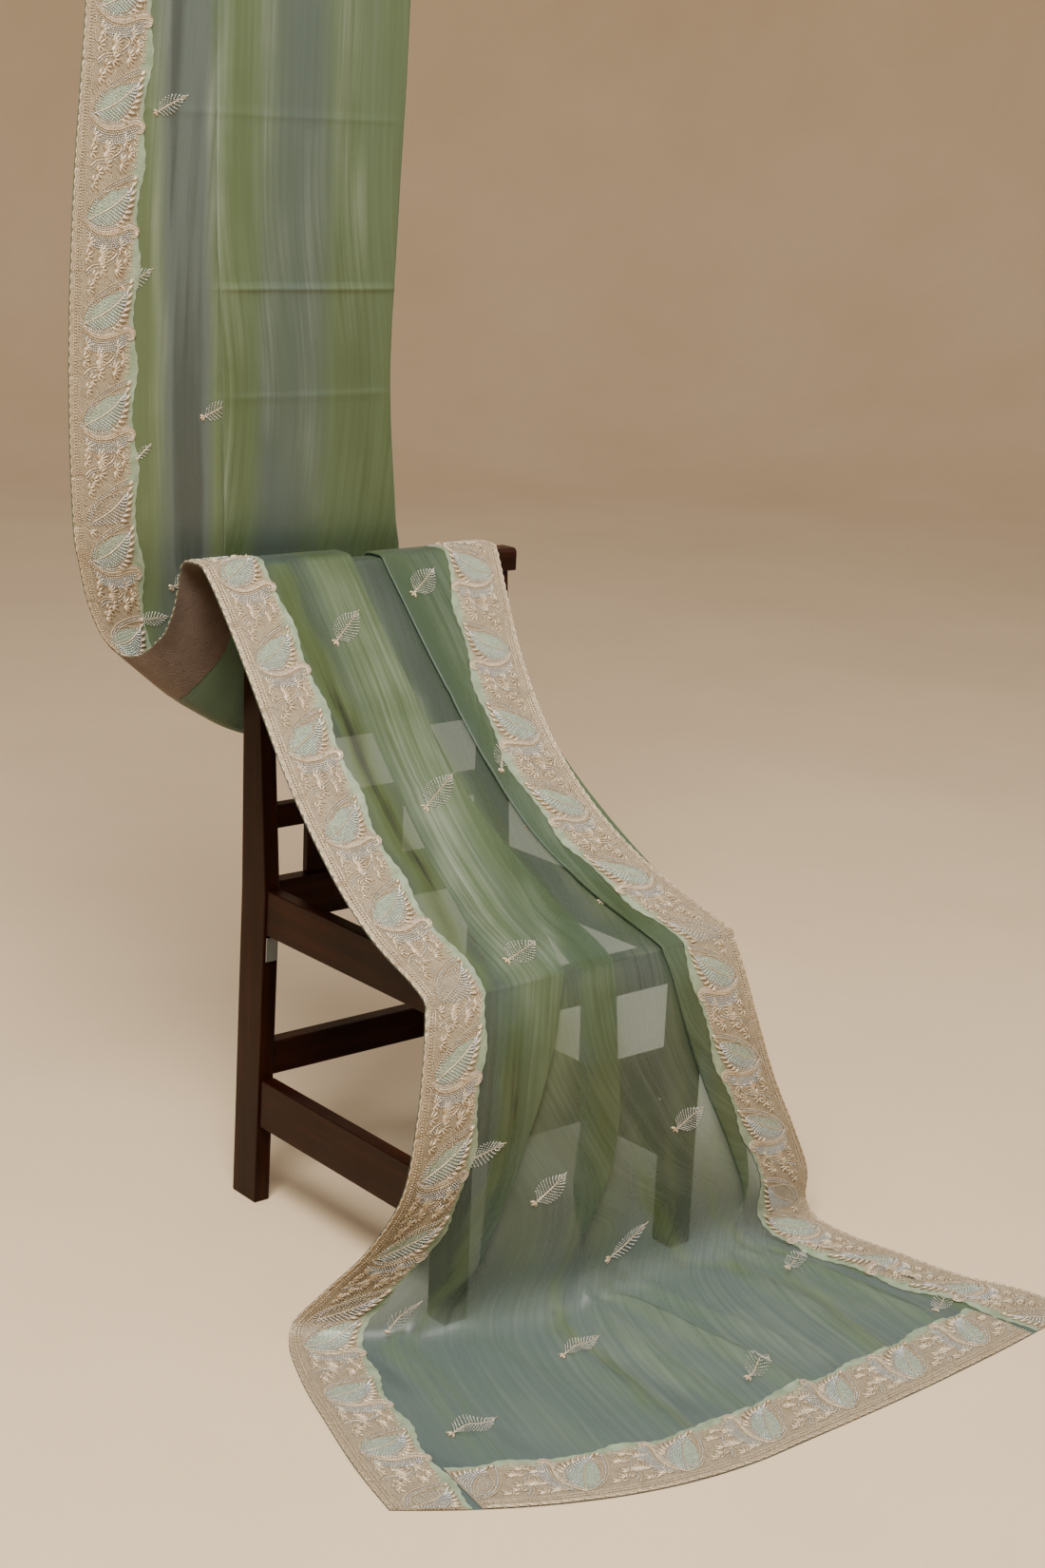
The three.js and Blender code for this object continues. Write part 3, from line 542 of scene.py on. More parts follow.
def organza_material():
    """Sheer shot cloth: see-through between its threads, streaked along its length, with painted sheen and
    painted shade in its colour.
    """
    looks = Looks("sheer_organza")
    place = looks.cloth_place()
    warp = looks.noise(place, scale=1.0, detail=4, stretch=(140, 2.6, 1))
    weft = looks.noise(place, scale=1.0, detail=3, stretch=(9, 260, 1))
    cloud = looks.noise(place, scale=5.0, detail=3)
    shift = looks.total((warp, 0.62), (cloud, 0.38))
    shot_colour_and_painted_light = looks.ramp(
        looks.total((looks.point_value("tone_and_painted_light"), 0.75), (shift, 0.34)),
        # The darkest stop, dark olive, is reached by the painted shade beside the left border over the seat.
        (0.04, (0.034, 0.042, 0.018)),
        (0.16, (0.088, 0.120, 0.040)),
        (0.38, (0.112, 0.156, 0.072)),
        (0.66, (0.098, 0.130, 0.088)),
        (0.90, (0.092, 0.118, 0.102)),
        (1.00, (0.052, 0.066, 0.054)),
    )
    shimmer = looks.ramp(shift, (0.42, (0.15, 0.15, 0.15)), (0.60, (1.0, 1.0, 1.0)))
    # Painted sheen: paler where a fold faces the light, flickering with the weave.
    lit = looks.math("MULTIPLY", looks.point_value("shine"), shimmer)
    colour = looks.mixed(lit, shot_colour_and_painted_light, PAINTED_SHEEN_COLOUR)
    threads = looks.total((warp, 1.0), (weft, 0.5))
    thread = looks.principled(
        colour,
        Specular_IOR_Level=0.55,
        Sheen_Weight=0.5,
        Sheen_Roughness=0.3,
        Sheen_Tint=(0.90, 0.95, 0.82, 1),
        Roughness=looks.between(cloud, low=0.30, high=0.50),
        Normal=looks.bump(threads, strength=0.25, distance=0.0012),
    )
    glow = looks.shader("ShaderNodeBsdfTranslucent", {"Color": colour})
    body = looks.shader("ShaderNodeMixShader", {"Fac": LIT_THROUGH, 1: thread, 2: glow})
    cover = looks.point_value("cover")
    tint = looks.ramp(cover, (0.0, (0.99, 0.99, 0.98)), (0.35, (0.50, 0.68, 0.88)))
    clear = looks.shader("ShaderNodeBsdfTransparent", {"Color": tint})
    uneven = looks.math("ADD", looks.math("MULTIPLY", shift, 0.6), 0.7)
    opacity = looks.math("MULTIPLY", cover, uneven)
    return looks.finished(looks.shader("ShaderNodeMixShader", {"Fac": opacity, 1: clear, 2: body}))


def strip_material():
    """The border's ground: fine rows of beige-gold stitches, a mint inner margin, a brown backing."""
    looks = Looks("border_strip")
    place = looks.cloth_place()
    cloud = looks.noise(place, scale=60.0, detail=3)
    wave = {"Vector": place, "Scale": 210.0, "Distortion": 14.0, "Detail": 2.0, "Detail Scale": 0.5}
    rows = looks.add("ShaderNodeTexWave", wave, wave_type="BANDS", bands_direction="DIAGONAL")
    stitch = looks.noise(place, scale=900.0, detail=2)
    figure = looks.total((rows.outputs["Fac"], 0.42), (stitch, 0.38), (cloud, 0.3))
    gold = looks.ramp(
        figure,
        (0.30, (0.075, 0.052, 0.028)),
        (0.55, (0.225, 0.168, 0.098)),
        (0.80, (0.440, 0.355, 0.225)),
    )
    mint = looks.ramp(cloud, (0.35, (0.160, 0.205, 0.120)), (0.65, (0.260, 0.310, 0.200)))
    brown = looks.ramp(figure, (0.35, (0.040, 0.024, 0.016)), (0.75, (0.120, 0.078, 0.052)))
    face = looks.mixed(looks.point_value("margin"), gold, mint)
    return looks.finished(looks.principled(
        looks.mixed(looks.point_value("backing"), face, brown),
        Roughness=0.48,
        Sheen_Weight=0.2,
        Sheen_Roughness=0.4,
        Normal=looks.bump(figure, strength=0.7, distance=0.0008),
    ))


def mint_material():
    """The leaf-shaped patches of the border, with thread laid over them."""
    looks = Looks("mint_patch")
    cloud = looks.noise(looks.object_place(), scale=260.0, detail=4)
    return looks.finished(looks.principled(
        looks.ramp(cloud, (0.3, (0.150, 0.180, 0.115)), (0.7, (0.300, 0.345, 0.245))),
        Roughness=0.4,
        Sheen_Weight=0.3,
        Sheen_Roughness=0.4,
        Normal=looks.bump(cloud, strength=0.5, distance=0.0006),
    ))


def thread_material(name, dark, light, metallic, rough):
    """Metal thread and beads, uneven from one stitch to the next."""
    looks = Looks(name)
    patch = looks.noise(looks.object_place(), scale=420.0, detail=3)
    colour = looks.ramp(patch, (0.35, dark), (0.65, light))
    return looks.finished(looks.principled(colour, Roughness=rough, Metallic=metallic))


def wood_material(name, grain_axis):
    """Dark red-brown lacquered wood with its grain along an axis."""
    looks = Looks(name)
    place = looks.object_place()
    stretch = [46.0, 46.0, 46.0]
    stretch[grain_axis] = 3.0
    grain = looks.noise(place, scale=1.0, detail=8, stretch=stretch)
    pores = looks.noise(place, scale=1.0, detail=5, stretch=[value * 6 for value in stretch])
    worn = looks.noise(place, scale=9.0, detail=3)
    figure = looks.total((grain, 0.75), (pores, 0.25))
    colour = looks.ramp(
        figure,
        (0.3, (0.0045, 0.0009, 0.0003)),
        (0.5, (0.013, 0.0026, 0.0007)),
        (0.72, (0.034, 0.0072, 0.0018)),
    )
    return looks.finished(looks.principled(
        colour,
        Specular_IOR_Level=0.10,
        Coat_Weight=0.04,
        Coat_Roughness=0.2,
        Roughness=looks.between(worn, low=0.30, high=0.46),
        Normal=looks.bump(figure, strength=0.12, distance=0.0006),
    ))


def steel_material():
    """Steel with fine brush lines."""
    looks = Looks("brushed_steel")
    brushed = looks.noise(looks.object_place(), scale=1.0, detail=4, stretch=(60, 60, 1800))
    rough = looks.between(brushed, low=0.30, high=0.48)
    return looks.finished(looks.principled((0.42, 0.42, 0.40, 1), Metallic=1.0, Roughness=rough))


def floor_material():
    """Plain painted studio floor, a little cloudy."""
    looks = Looks("pale_floor")
    cloud = looks.noise(looks.object_place(), scale=1.1, detail=4)
    colour = looks.ramp(cloud, (0.3, (0.630, 0.465, 0.285)), (0.7, (0.690, 0.515, 0.325)))
    return looks.finished(looks.principled(colour, Roughness=0.8))


ORGANZA = organza_material()
STRIP = strip_material()
MINT = mint_material()
SILVER = thread_material("silver_beads", (0.42, 0.44, 0.42), (0.88, 0.89, 0.87), metallic=0.6, rough=0.22)
GOLD = thread_material("gold_thread", (0.34, 0.250, 0.150), (0.72, 0.585, 0.40), metallic=0.3, rough=0.32)
SPRIG_BEADS = thread_material(
    "sprig_beads", (0.30, 0.29, 0.23), (0.72, 0.71, 0.62), metallic=0.5, rough=0.25
)
WOODS = [wood_material(f"mahogany_{name}", axis) for axis, name in enumerate("xyz")]
STEEL = steel_material()


# Cloth pieces.


def link_mesh(name, verts, faces, material):
    """A piece made from points and faces."""
    mesh = bpy.data.meshes.new(name)
    mesh.from_pydata([tuple(v) for v in verts], [], faces)
    mesh.materials.append(material)
    mesh.shade_smooth()
    return add_object(name, mesh)


def shell_faces(rows, across):
    """Faces of a thin closed shell made of an outer grid, then an inner one."""
    offset = rows * across
    faces = []
    for k in range(rows - 1):
        for j in range(across - 1):
            a, b = k * across + j, k * across + j + 1
            c, d = a + across, b + across
            faces.append((a, b, d, c))
            faces.append((offset + a, offset + c, offset + d, offset + b))
    rim = list(range(across - 1))
    rim += [k * across + across - 1 for k in range(rows - 1)]
    rim += [(rows - 1) * across + j for j in range(across - 1, 0, -1)]
    rim += [k * across for k in range(rows - 1, 0, -1)]
    for a, b in zip(rim, rim[1:] + rim[:1]):
        faces.append((a, offset + a, offset + b, b))
    return faces


def set_point_values(piece, name, values):
    """Give a piece's points a value each, which its material reads."""
    layer = piece.data.attributes.new(name, "FLOAT", "POINT")
    layer.data.foreach_set("value", np.asarray(values, np.float32).ravel())


def set_uv(piece, uv):
    """Lay the weave on a piece: places on the flat cloth, in metres."""
    layer = piece.data.uv_layers.new(name="cloth")
    corner = np.empty(len(piece.data.loops), np.int32)
    piece.data.loops.foreach_get("vertex_index", corner)
    layer.data.foreach_set("uv", np.asarray(uv, np.float32).reshape(-1, 2)[corner].ravel())


def shade_as_one(piece, facing, rim_faces):
    """Shade both faces with the whole sheet's directions, so that no joint shows; the rim is flat."""
    mesh = piece.data
    corner = np.empty(len(mesh.loops), np.int32)
    mesh.loops.foreach_get("vertex_index", corner)
    shading = np.array(facing)[corner]
    for face in mesh.polygons[len(mesh.polygons) - rim_faces :]:
        shading[face.loop_start : face.loop_start + face.loop_total] = face.normal
    mesh.normals_split_custom_set(shading.tolist())


OFF_FLOOR = 0.0001


def make_shell(name, points, out, uv, thickness, material):
    """A thin closed shell either side of a grid of points."""
    rows, across = points.shape[:2]
    outer, inner = points + out * thickness / 2, points - out * thickness / 2
    inner[..., 2] = np.maximum(inner[..., 2], OFF_FLOOR)
    verts = np.concatenate([outer.reshape(-1, 3), inner.reshape(-1, 3)])
    piece = link_mesh(name, verts, shell_faces(rows, across), material)
    set_uv(piece, np.concatenate([uv.reshape(-1, 2)] * 2))
    facing = np.concatenate([out.reshape(-1, 3), -out.reshape(-1, 3)])
    shade_as_one(piece, facing, rim_faces=2 * (rows + across - 2))
    return piece


CLOTH_THICKNESS = 0.0004
HUNG_FROM, HUNG_FADE = 31.0, 3.0

# Tones of the laid cloth: of one layer, less for each layer more, the least, and on the floor.
OPEN_TONE, LAYER_TONE, LEAST_TONE, FLOOR_TONE = 0.70, 0.18, 0.22, 0.92
# Painted sheen on crease slopes: how much greener the cloth is painted where a crease slopes, and the slope
# at which that is full.
SLOPE_SHEEN_TONE, STEEP = 0.55, 0.5
# The least tone where cloth is gathered goes below the darkest, so that the painted shade beside the left
# border over the seat is dark olive.
DARKEST, DARKEST_GATHERED_AND_SHADED, PALEST = 0.16, -0.2, 1.25
LAYER_BLUR = 6
MOST_LAYERS = 4
HEM_COVER, HEM_WIDTH, MOST_COVER = 0.2, 0.004, 0.96

# Painted sheen of the hanging length, the shot cloth's change of colour with its angle painted as stripes: x
# in millimetres and how grey-blue the cloth is there.
HUNG_SHEEN_STRIPES = [
    (-240, 0.60), (-150, 0.30), (-120, 0.15), (-100, 0.55), (-76, 1.12), (-30, 1.15), (-12, 0.30),
    (12, 0.10), (38, 0.25), (64, 0.75), (112, 0.85), (140, 0.55), (166, 0.22), (200, 0.42),
    (236, 0.30), (262, 0.05), (300, 0.10),
]

# How much of the cloth is thread, by row. The back of each thin shell is left clear.
COVER_ROWS = [
    (0, 0.62), (5, 0.60), (8, 0.58), (12, 0.60), (16, 0.60), (20, 0.58), (24, 0.62), (30, 0.80), (36, 0.92),
    (44, 0.92),
]

# Denser, greener stretches of the top layer, where more cloth is gathered under it, and a strip of
# painted shade beside the left border over the seat: rows from and to, x at either end, half width in
# millimetres, and how much greener and denser (the strip's green is dark, painted shade).
DENSER_AND_SHADED = [
    (13.0, 22.5, 130, 104, 50, 0.05, 0.30),
    (8.0, 15.0, 120, 120, 40, 0.20, 0.22),
    (13.0, 22.5, 395, 300, 40, 0.15, 0.20),
    (6.0, 12.0, 235, 205, 30, 0.30, 0.16),
    (6.0, 12.0, 470, 392, 30, 0.30, 0.20),
    (7.0, 11.0, 345, 330, 18, 0.20, 0.08),
    (25.0, 36.0, -60, -80, 60, 0.30, 0.10),
    # Painted shade beside the left border over the seat: a dark, denser strip.
    (12.6, 21.8, 32, 18, 19, 0.65, 0.22),
    (0.9, 7.8, 80, 160, 11, 0.42, 0.24),
    (3.0, 9.0, 446, 246, 11, 0.42, 0.22),
    (0.5, 3.5, 402, 448, 11, 0.36, 0.20),
    (3.6, 8.4, 512, 372, 9, 0.36, 0.18),
    (0.7, 5.8, 592, 530, 16, 0.45, 0.25),
    (5.2, 11.2, -46, 82, 13, 0.35, 0.20),
]

# Paler, shining stretches where a fold faces the light: rows from and to, x at either end, half
# width in millimetres, and how strong the shine is.
SHINING = [
    (12.8, 21.8, 104, 94, 46, 0.34),
    (15.5, 21.5, 290, 262, 34, 0.30),
    (14.5, 18.2, 86, 84, 24, 0.85),
    (17.4, 19.6, 150, 130, 20, 0.50),
    (18.8, 21.6, 96, 82, 18, 0.42),
    (14.0, 16.4, 160, 165, 22, 0.40),
    (16.0, 20.5, 268, 252, 16, 0.40),
    (12.6, 14.2, 96, 104, 40, 0.45),
    (12.2, 14.6, 312, 300, 26, 0.35),
    (9.0, 12.0, 88, 104, 20, 0.30),
    (38.0, 41.0, -16, -20, 9, 0.45),
    (37.6, 40.6, 64, 52, 12, 0.36),
    (38.2, 41.0, 190, 170, 18, 0.34),
    (36.6, 38.6, 8, 4, 12, 0.30),
    (36.8, 39.4, 132, 120, 14, 0.28),
    (37.0, 40.2, -104, -96, 10, 0.30),
    (-0.6, 6.6, 250, 230, 420, 0.30),
    (6.6, 13.0, 250, 230, 300, 0.16),
    (1.0, 4.2, 170, 120, 50, 0.42),
    (0.8, 4.0, 330, 300, 46, 0.45),
    (2.0, 5.4, 500, 440, 30, 0.42),
]


def layer_counts(points):
    """How many layers of the cloth lie over each other at every point of every ring."""
    counts = np.ones(points.shape[:2])
    for k, line in enumerate(points[..., 0]):
        low, high = np.minimum(line[:-1], line[1:]), np.maximum(line[:-1], line[1:])
        counts[k] = ((low[None, :] <= line[:, None]) & (line[:, None] < high[None, :])).sum(axis=1)
    return np.clip(counts, 1, MOST_LAYERS)


def softened(values, times):
    """Values smoothed along and across the grid."""
    for _ in range(times):
        padded = np.pad(values, 1, mode="edge")
        right, left = padded[1:-1, 2:], padded[1:-1, :-2]
        ahead, behind = padded[2:, 1:-1], padded[:-2, 1:-1]
        values = (2 * values + right + left + ahead + behind) / 6
    return values


def lengthwise_patch(x, start, end, x_start, x_end, half):
    """1 along a ragged stretch that runs down the cloth, fading to 0 round it."""
    place = ring_place[:, None]
    t = np.clip((place - start) / (end - start), 0, 1)
    ragged = 5 * np.sin(place * 3.1 + x_start) + 3 * np.sin(place * 7.3 + x_end)
    off = np.abs((x - x_start - (x_end - x_start) * t - ragged) / half)
    return np.exp(-(off ** 3)) * np.sin(np.pi * t) ** 0.4


def gathered_and_shaded(x):
    """How much greener and denser the cloth is at places across each ring; beside the left border over the
    seat, painted shade.
    """
    greener_and_shaded, denser = np.zeros_like(x), np.zeros_like(x)
    for *where, green_and_shade, dense in DENSER_AND_SHADED:
        near = lengthwise_patch(x, *where)
        greener_and_shaded = np.maximum(greener_and_shaded, green_and_shade * near)
        denser = np.maximum(denser, dense * near)
    return greener_and_shaded, denser


def shining(x):
    """How much paler the cloth is where it faces the light."""
    shine = np.zeros_like(x)
    for *where, strength in SHINING:
        shine = np.maximum(shine, strength * lengthwise_patch(x, *where))
    return shine


def cloth_tones_and_painted_light():
    """0 is olive green, 1 is grey-blue: the shot cloth is greenest where it lies in folds.

    The stripes of the hanging length and the greener crease slopes are painted sheen, the shot cloth's
    change of colour with its angle; the dark strip beside the left border over the seat is painted shade.
    """
    place = ring_place[:, None]
    counts = softened(layer_counts(grid), LAYER_BLUR)
    laid = np.clip(OPEN_TONE - LAYER_TONE * (counts - 1), LEAST_TONE, 1)
    on_floor = np.clip((FLOOR_LAST + 1 - place) / 2, 0, 1)
    laid = laid + on_floor * (FLOOR_TONE - laid)
    # Painted sheen: the green and grey-blue stripes of the hanging length.
    hung = np.interp(sheet_x, *zip(*HUNG_SHEEN_STRIPES))
    share = np.clip((place - HUNG_FROM) / HUNG_FADE, 0, 1)
    drift = 0.10 * np.sin(sheet_x / 17 + place * 0.8) + 0.08 * np.sin(sheet_x / 41 - place * 0.5)
    # Painted sheen: greener where a crease slopes, as the shot cloth looks when turned.
    relief = calm(ring_place)[:, None] * crease_height(sheet_x, place)
    run = np.maximum(np.abs(np.gradient(sheet_x, axis=1)), 0.5)
    slope = np.abs(np.gradient(relief, axis=1)) / run
    slope_sheen = SLOPE_SHEEN_TONE * np.clip(slope / STEEP, 0, 1)
    plain = np.clip(laid * (1 - share) + hung * share + drift - slope_sheen, DARKEST, PALEST)
    return np.clip(plain - gathered_and_shaded(sheet_x)[0], DARKEST_GATHERED_AND_SHADED, PALEST)


def cloth_covers():
    """How much of a face is thread: more along the hems and where the cloth is pinched in a fold."""
    width = across_length[:, -1:]
    from_edge = np.minimum(across_length, width - across_length)
    base = np.interp(ring_place, *zip(*COVER_ROWS))[:, None]
    hem = HEM_COVER * np.exp(-((from_edge / HEM_WIDTH) ** 2))
    return np.clip(base + gathered_and_shaded(sheet_x)[1] + hem, 0, MOST_COVER)


sheet_x = (grid[..., 0] - ORIGIN.x) / MM
tones_and_painted_light, covers, shines = cloth_tones_and_painted_light(), cloth_covers(), shining(sheet_x)
for (stretch_name, _, held), (first, last) in zip(STRETCHES, ring_spans):
    rows = slice(first, last + 1)
    sheet_uv = cloth_uv[rows]
    piece = make_shell(
        f"cloth_{stretch_name}", grid[rows], normals[rows], sheet_uv, CLOTH_THICKNESS, ORGANZA
    )
    set_point_values(piece, "tone_and_painted_light", np.concatenate([tones_and_painted_light[rows]] * 2))
    set_point_values(piece, "cover", np.concatenate([covers[rows], np.zeros_like(covers[rows])]))
    set_point_values(piece, "shine", np.concatenate([shines[rows]] * 2))
    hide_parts(stretch_name)
    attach(piece, "root")


# Border strips.


# Steps in from an edge, where along it is measured, and how far places keep from a grid's end.
MAP_STEP, MAP_MIDDLE = 0.004, 0.045
LAST_SHARE = 1.001


class EdgeMap:
    """Places along one edge of the saree: s metres along it, w metres in from it."""

    def __init__(self, lines, outs, depth, flip):
        """Lines run in from the edge, with the directions out of the cloth along each."""
        inward = running_length(lines, 1)
        self.flip = flip
        self.w = np.linspace(0, depth, int(depth / MAP_STEP) + 1)
        self.points = self.resampled(lines, inward)
        self.outs = self.resampled(outs, inward)
        self.s = running_length(self.points, 0)[:, int(MAP_MIDDLE / MAP_STEP)]

    def resampled(self, values, inward):
        """Values at even steps in from the edge."""
        return np.stack([
            np.stack([np.interp(self.w, lengths, line[:, a]) for a in range(3)], -1)
            for lengths, line in zip(inward, values)
        ])

    def at(self, s, w, height=0.0):
        """Points at arrays of s and w, lifted off the cloth's face."""
        s, w = np.asarray(s, float), np.asarray(w, float)
        k = np.clip(np.interp(s, self.s, np.arange(len(self.s))), 0, len(self.s) - LAST_SHARE)
        j = np.clip(np.interp(w, self.w, np.arange(len(self.w))), 0, len(self.w) - LAST_SHARE)
        k0, j0 = k.astype(int), j.astype(int)
        a, b = (k - k0)[..., None], (j - j0)[..., None]

        def blend(values):
            return (
                values[k0, j0] * (1 - a) * (1 - b) + values[k0 + 1, j0] * a * (1 - b)
                + values[k0, j0 + 1] * (1 - a) * b + values[k0 + 1, j0 + 1] * a * b
            )

        out = unit(blend(self.outs))
        return blend(self.points) + out * np.asarray(height)[..., None], out


REPEAT = 0.125
STRIP_WIDTH = 0.090
STRIP_THICKNESS = 0.0022
STRIP_TOP = 0.0014
STRIP_STEP = 0.0042
SCALLOP, SCALLOP_DEPTH = 0.0125, 0.0016
LEAF_REACH = 0.008
SERRATION, SERRATION_STEP = 0.0008, 0.0028
MINT_MARGIN, MARGIN_FADE = 0.007, 0.002

# Points across a strip, as shares of its width: closest at its edges and at the mint margin.
STRIP_PLACES = np.array([0, 0.02, 0.1, 0.2, 0.35, 0.5, 0.65, 0.78, 0.88, 0.915, 0.94, 0.98, 1.0])


def leaf_edge(s):
    """How far the border's inner edge reaches: a leaf tip in each repeat, finely serrated."""
    phase = (s % REPEAT) / REPEAT
    leaf = LEAF_REACH * (0.5 - 0.5 * np.cos(2 * np.pi * phase)) ** 1.5
    return leaf + SERRATION * np.sin(s / SERRATION_STEP)


def scalloped(s):
    """The outer edge is a row of small gold scallops."""
    return SCALLOP_DEPTH * np.abs(np.sin(np.pi * s / SCALLOP))


def make_strip(name, mapping, s_from, s_to, replaced):
    """A length of the border strip, laid on the cloth along its edge."""
    steps = max(8, int((s_to - s_from) / STRIP_STEP))
    s = np.linspace(s_from, s_to, steps + 1)
    outer = scalloped(s)
    inner = STRIP_WIDTH + leaf_edge(s)
    width = outer[:, None] + (inner - outer)[:, None] * STRIP_PLACES[None, :]
    along = np.broadcast_to(s[:, None], width.shape)
    points, out = mapping.at(along, width, STRIP_TOP - STRIP_THICKNESS / 2)
    if mapping.flip:
        points, out, along, width = points[:, ::-1], out[:, ::-1], along[:, ::-1], width[:, ::-1]
    piece = make_shell(name, points, out, np.stack([width, along], -1), STRIP_THICKNESS, STRIP)
    count = points.shape[0] * points.shape[1]
    margin = np.clip((width - (STRIP_WIDTH - MINT_MARGIN)) / MARGIN_FADE, 0, 1).ravel()
    set_point_values(piece, "backing", np.concatenate([np.zeros(count), np.ones(count)]))
    set_point_values(piece, "margin", np.concatenate([margin, margin]))
    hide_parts(replaced)
    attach(piece, "root")
    return piece


floor_rings = slice(0, ring_spans[0][1])
SIDE_DEPTH, END_DEPTH = 0.20, 0.16
left_edge = EdgeMap(grid, normals, SIDE_DEPTH, flip=False)
right_edge = EdgeMap(grid[:, ::-1], normals[:, ::-1], SIDE_DEPTH, flip=True)
end_lines, end_outs = grid[floor_rings].swapaxes(0, 1), normals[floor_rings].swapaxes(0, 1)
free_end = EdgeMap(end_lines, end_outs, END_DEPTH, flip=True)

border_pieces = {name: [] for name, _, _ in STRETCHES}
for side, mapping in (("left", left_edge), ("right", right_edge)):
    for (stretch_name, _, _), (first, last) in zip(STRETCHES, ring_spans):
        s_from, s_to = mapping.s[first], mapping.s[last]
        node_name = f"border_{side}_{stretch_name}"
        strip = make_strip(f"strip_{side}_{stretch_name}", mapping, s_from, s_to, node_name)
        border_pieces[stretch_name].append(strip)

# The end border starts and stops where the side borders lie, and its stitches a little within it.
SIDE_BORDER, END_MARGIN = 0.100, 0.001
END_FROM, END_TO = SIDE_BORDER, free_end.s[-1] - SIDE_BORDER
end_strip = make_strip("strip_end", free_end, END_FROM, END_TO, "end_border")
border_pieces["floor_spread"].append(end_strip)


# Embroidery.


def fast_mesh(name, verts, triangles, material):
    """One mesh piece from arrays of points and triangles."""
    mesh = bpy.data.meshes.new(name)
    mesh.vertices.add(len(verts))
    mesh.vertices.foreach_set("co", np.asarray(verts, np.float32).ravel())
    mesh.loops.add(3 * len(triangles))
    mesh.loops.foreach_set("vertex_index", np.asarray(triangles, np.int32).ravel())
    mesh.polygons.add(len(triangles))
    mesh.polygons.foreach_set("loop_start", np.arange(0, 3 * len(triangles), 3, dtype=np.int32))
    mesh.update(calc_edges=True)
    mesh.validate()
    mesh.materials.append(material)
    mesh.shade_smooth()
    return add_object(name, mesh)


class Stitches:
    """Collects beads and cords of one material and makes them one piece."""

    def __init__(self):
        self.verts, self.triangles, self.count = [], [], 0

    def add(self, verts, triangles):
        self.verts.append(verts)
        self.triangles.append(triangles + self.count)
        self.count += len(verts)

    def piece(self, name, material, material_slot):
        made = fast_mesh(name, np.concatenate(self.verts), np.concatenate(self.triangles), material)
        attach(made, "root")
        return made


BEAD_POINTS = np.array([(1, 0, 0), (0, 1, 0), (-1, 0, 0), (0, -1, 0), (0, 0, 1), (0, 0, -0.6)], float)
BEAD_FACES = np.array([
    (0, 1, 4), (1, 2, 4), (2, 3, 4), (3, 0, 4), (1, 0, 5), (2, 1, 5), (3, 2, 5), (0, 3, 5),
])
BEAD_LIFT = 0.6
LOOK_AHEAD = 0.001
CORD_TOP, CORD_UNDER = 1.1, 0.2


def add_beads(stitches, mapping, s, w, radius, base):
    """Small faceted beads at places on the cloth."""
    s, w = np.ravel(s), np.ravel(w)
    if len(s) == 0:
        return
    at, out = mapping.at(s, w, base + radius * BEAD_LIFT)
    ahead, _ = mapping.at(s + LOOK_AHEAD, w, base + radius * BEAD_LIFT)
    along = unit(ahead - at)
    side = np.cross(out, along)
    local = BEAD_POINTS * radius
    verts = (
        at[:, None, :] + local[None, :, 0, None] * along[:, None, :]
        + local[None, :, 1, None] * side[:, None, :] + local[None, :, 2, None] * out[:, None, :]
    )
    faces = BEAD_FACES[None] + 6 * np.arange(len(at))[:, None, None]
    stitches.add(verts.reshape(-1, 3), faces.reshape(-1, 3))


def add_cord(stitches, mapping, s, w, radius, base):
    """A cord laid along places on the cloth, tapered at both ends, with four sides."""
    s, w = np.asarray(s, float), np.asarray(w, float)
    radius = np.broadcast_to(np.asarray(radius, float), s.shape)
    at, out = mapping.at(s, w, base)
    along = unit(np.gradient(at, axis=0))
    side = unit(np.cross(along, out))
    r = radius[:, None]
    lines = [at + side * r, at + out * r * CORD_TOP, at - side * r, at - out * CORD_UNDER * r]
    verts = np.stack(lines, axis=1)
    n = len(s)
    k = np.arange(n - 1)[:, None] * 4
    j = np.arange(4)[None, :]
    a, b = k + j, k + (j + 1) % 4
    faces = np.stack([np.stack([a, b, b + 4], -1), np.stack([a, b + 4, a + 4], -1)], 2).reshape(-1, 3)
    last = 4 * (n - 1)
    caps = np.array([(0, 3, 2), (0, 2, 1), (last, last + 1, last + 2), (last, last + 2, last + 3)])
    stitches.add(verts.reshape(-1, 3), np.concatenate([faces, caps]))


PATCH_RIM_DIP = 0.0005


def add_patch(stitches, mapping, s, w, base):
    """A thin raised patch over a grid of places on the cloth."""
    height = np.full(np.shape(s), base - PATCH_RIM_DIP)
    height[1:-1, 1:-1] = base
    at, _ = mapping.at(s, w, height)
    rows, across = at.shape[:2]
    index = np.arange(rows * across).reshape(rows, across)
    a, b, c, d = index[:-1, :-1], index[:-1, 1:], index[1:, :-1], index[1:, 1:]
    near, far = np.stack([a, b, d], -1), np.stack([a, d, c], -1)
    stitches.add(at.reshape(-1, 3), np.concatenate([near.reshape(-1, 3), far.reshape(-1, 3)]))


def smooth_line(points, count):
    """A smooth line through a few points, as count points."""
    points = np.array(points, float)
    t = np.linspace(0, len(points) - 1, count)
    i = np.clip(t.astype(int), 0, len(points) - 2)
    f = (t - i)[:, None]
    before, start = points[np.maximum(i - 1, 0)], points[i]
    end, beyond = points[i + 1], points[np.minimum(i + 2, len(points) - 1)]
    return curve_through(before, start, end, beyond, f)


def spaced(points, pitch):
    """Places along a line, a pitch apart."""
    length = np.concatenate([[0], np.cumsum(np.linalg.norm(np.diff(points, axis=0), axis=1))])
    at = np.arange(0, length[-1], pitch)
    return np.stack([np.interp(at, length, points[:, 0]), np.interp(at, length, points[:, 1])], -1)


def shifted(points, distance):
    """A line moved sideways by a distance."""
    along = unit(np.gradient(points, axis=0))
    return points + distance * np.stack([-along[:, 1], along[:, 0]], -1)


